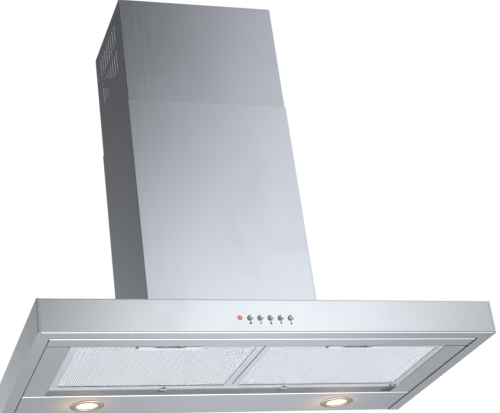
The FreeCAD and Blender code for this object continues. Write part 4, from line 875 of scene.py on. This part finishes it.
def light_patch():
    """A soft patch of light in the sky: a bell curve in azimuth and elevation."""
    tree, given, result = new_group(
        "light patch",
        [("Way", "NodeSocketVector", (0, 0, 0)), ("Azimuth", "NodeSocketFloat", 0.0),
         ("Elevation", "NodeSocketFloat", 0.0), ("Width", "NodeSocketFloat", 10.0),
         ("Height", "NodeSocketFloat", 10.0), ("Strength", "NodeSocketFloat", 1.0)], ["Light"])
    x, y, z = add_node(tree, "ShaderNodeSeparateXYZ", {0: given["Way"]}).outputs
    azimuth = calculate(tree, "ARCTAN2", x, calculate(tree, "MULTIPLY", y, -1.0))
    azimuth = calculate(tree, "DEGREES", azimuth)
    azimuth = calculate(tree, "SUBTRACT", azimuth, given["Azimuth"])
    azimuth = calculate(tree, "WRAP", azimuth, 180.0, -180.0)
    rise = calculate(tree, "DEGREES", calculate(tree, "ARCSINE", z))
    rise = calculate(tree, "SUBTRACT", rise, given["Elevation"])
    across = calculate(tree, "POWER", calculate(tree, "DIVIDE", azimuth, given["Width"]), 2.0)
    up = calculate(tree, "POWER", calculate(tree, "DIVIDE", rise, given["Height"]), 2.0)
    bell = bell_curve(tree, calculate(tree, "ADD", across, up), 0.5)
    tree.links.new(calculate(tree, "MULTIPLY", bell, given["Strength"]), result["Light"])
    return tree


def summed_light(tree, way, base, patches):
    """A base level plus patches of light, by direction, and never below zero."""
    group = bpy.data.node_groups.get("light patch") or light_patch()
    total = base
    for azimuth, elevation, width, height, strength in patches:
        node = add_node(tree, "ShaderNodeGroup", node_tree=group)
        tree.links.new(way, node.inputs["Way"])
        for name, value in (("Azimuth", azimuth), ("Elevation", elevation), ("Width", width),
                            ("Height", height), ("Strength", strength)):
            node.inputs[name].default_value = value
        total = calculate(tree, "ADD", node.outputs["Light"], total)
    return calculate(tree, "MAXIMUM", total, 0.0)


def light_world():
    """A pale room: an even base, soft patches of light, and white for the camera itself."""
    world = bpy.data.worlds.new("studio")
    bpy.context.scene.world = world
    world.use_nodes = True
    tree = world.node_tree
    way = add_node(tree, "ShaderNodeTexCoord").outputs["Generated"]
    total = summed_light(tree, way, ROOM_LIGHT, SKY_PATCHES)
    seen = add_node(tree, "ShaderNodeLightPath").outputs["Is Camera Ray"]
    colour = blended(tree, seen, on_vectors(tree, "MULTIPLY", SKY_TINT, total), WHITE)
    tree.links.new(colour, tree.nodes["Background"].inputs["Color"])


def lay_floor():
    """A pale floor well below the hood. It is white to the camera, metal sees its pools of light,
    and it keeps the hood's shadow."""
    half, height = 60.0, -3.0
    corners = np.array([(-half, -half, height), (half, -half, height), (half, half, height),
                        (-half, half, height)])
    mesh = bpy.data.meshes.new("floor")
    mesh.from_pydata(corners.tolist(), [], [(0, 1, 2, 3)])
    floor = bpy.data.objects.new("floor", mesh)
    bpy.context.scene.collection.objects.link(floor)
    tree, shader, finish = new_finish("pale floor", Base_Color=(0.3, 0.3, 0.3, 1), Roughness=0.9,
                                      Emission_Strength=1.0)
    way = on_vectors(tree, "NORMALIZE", object_place(tree))
    pool = summed_light(tree, way, FLOOR_LIGHT, FLOOR_PATCHES)
    path = add_node(tree, "ShaderNodeLightPath").outputs
    seen = calculate(tree, "MAXIMUM", path["Is Glossy Ray"], path["Is Transmission Ray"])
    glow = calculate(tree, "ADD", calculate(tree, "MULTIPLY", seen, pool),
                     calculate(tree, "MULTIPLY", path["Is Camera Ray"], 0.85))
    tint = blended(tree, path["Is Camera Ray"], FLOOR_TINT, WHITE)
    tree.links.new(on_vectors(tree, "MULTIPLY", tint, glow), shader["Emission Color"])
    mesh.materials.append(finish)


def light_room():
    """Two large soft square lamps turned to the hood, which its metal doesn't mirror."""
    aim = Vector((0, -0.2, 0.1))
    for name, place, power in (("key", (1.9, -3.6, 1.9), 35.0), ("fill", (-2.6, -2.0, -0.6), 14.0)):
        data = bpy.data.lights.new(name, "AREA")
        data.size, data.energy = 1.6, power
        lamp = bpy.data.objects.new(name, data)
        bpy.context.scene.collection.objects.link(lamp)
        turn = (Vector(place) - aim).to_track_quat("Z", "Y")
        lamp.matrix_world = Matrix.LocRotScale(Vector(place), turn, None)
        lamp.visible_glossy = False


def set_camera():
    """The photograph's view, from low in front of the hood's left half, with a long lens."""
    data = bpy.data.cameras.new("photo camera")
    data.sensor_width, data.lens, data.shift_x, data.clip_end = 36.0, 94.5, 0.17, 300.0
    camera = bpy.data.objects.new("photo camera", data)
    bpy.context.scene.collection.objects.link(camera)
    right = (0.96422, -0.246875, -0.096602)
    up = (-0.024486, -0.445771, 0.894812)
    back = (-0.263969, -0.860431, -0.435866)
    camera.matrix_world = Matrix.Translation((-0.850063, -2.622511, -1.036179)) @ Matrix(
        (right, up, back)).transposed().to_4x4()
    bpy.context.scene.camera = camera


finish_frame()
make_lamps()
make_controls()
make_filters()
make_duct_fixings()
make_terminal_fixings()
make_sheet_fixings()
make_latch_stops()
make_vent_screens()
light_world()
lay_floor()
light_room()
set_camera()
bpy.context.scene.view_settings.view_transform = "Standard"
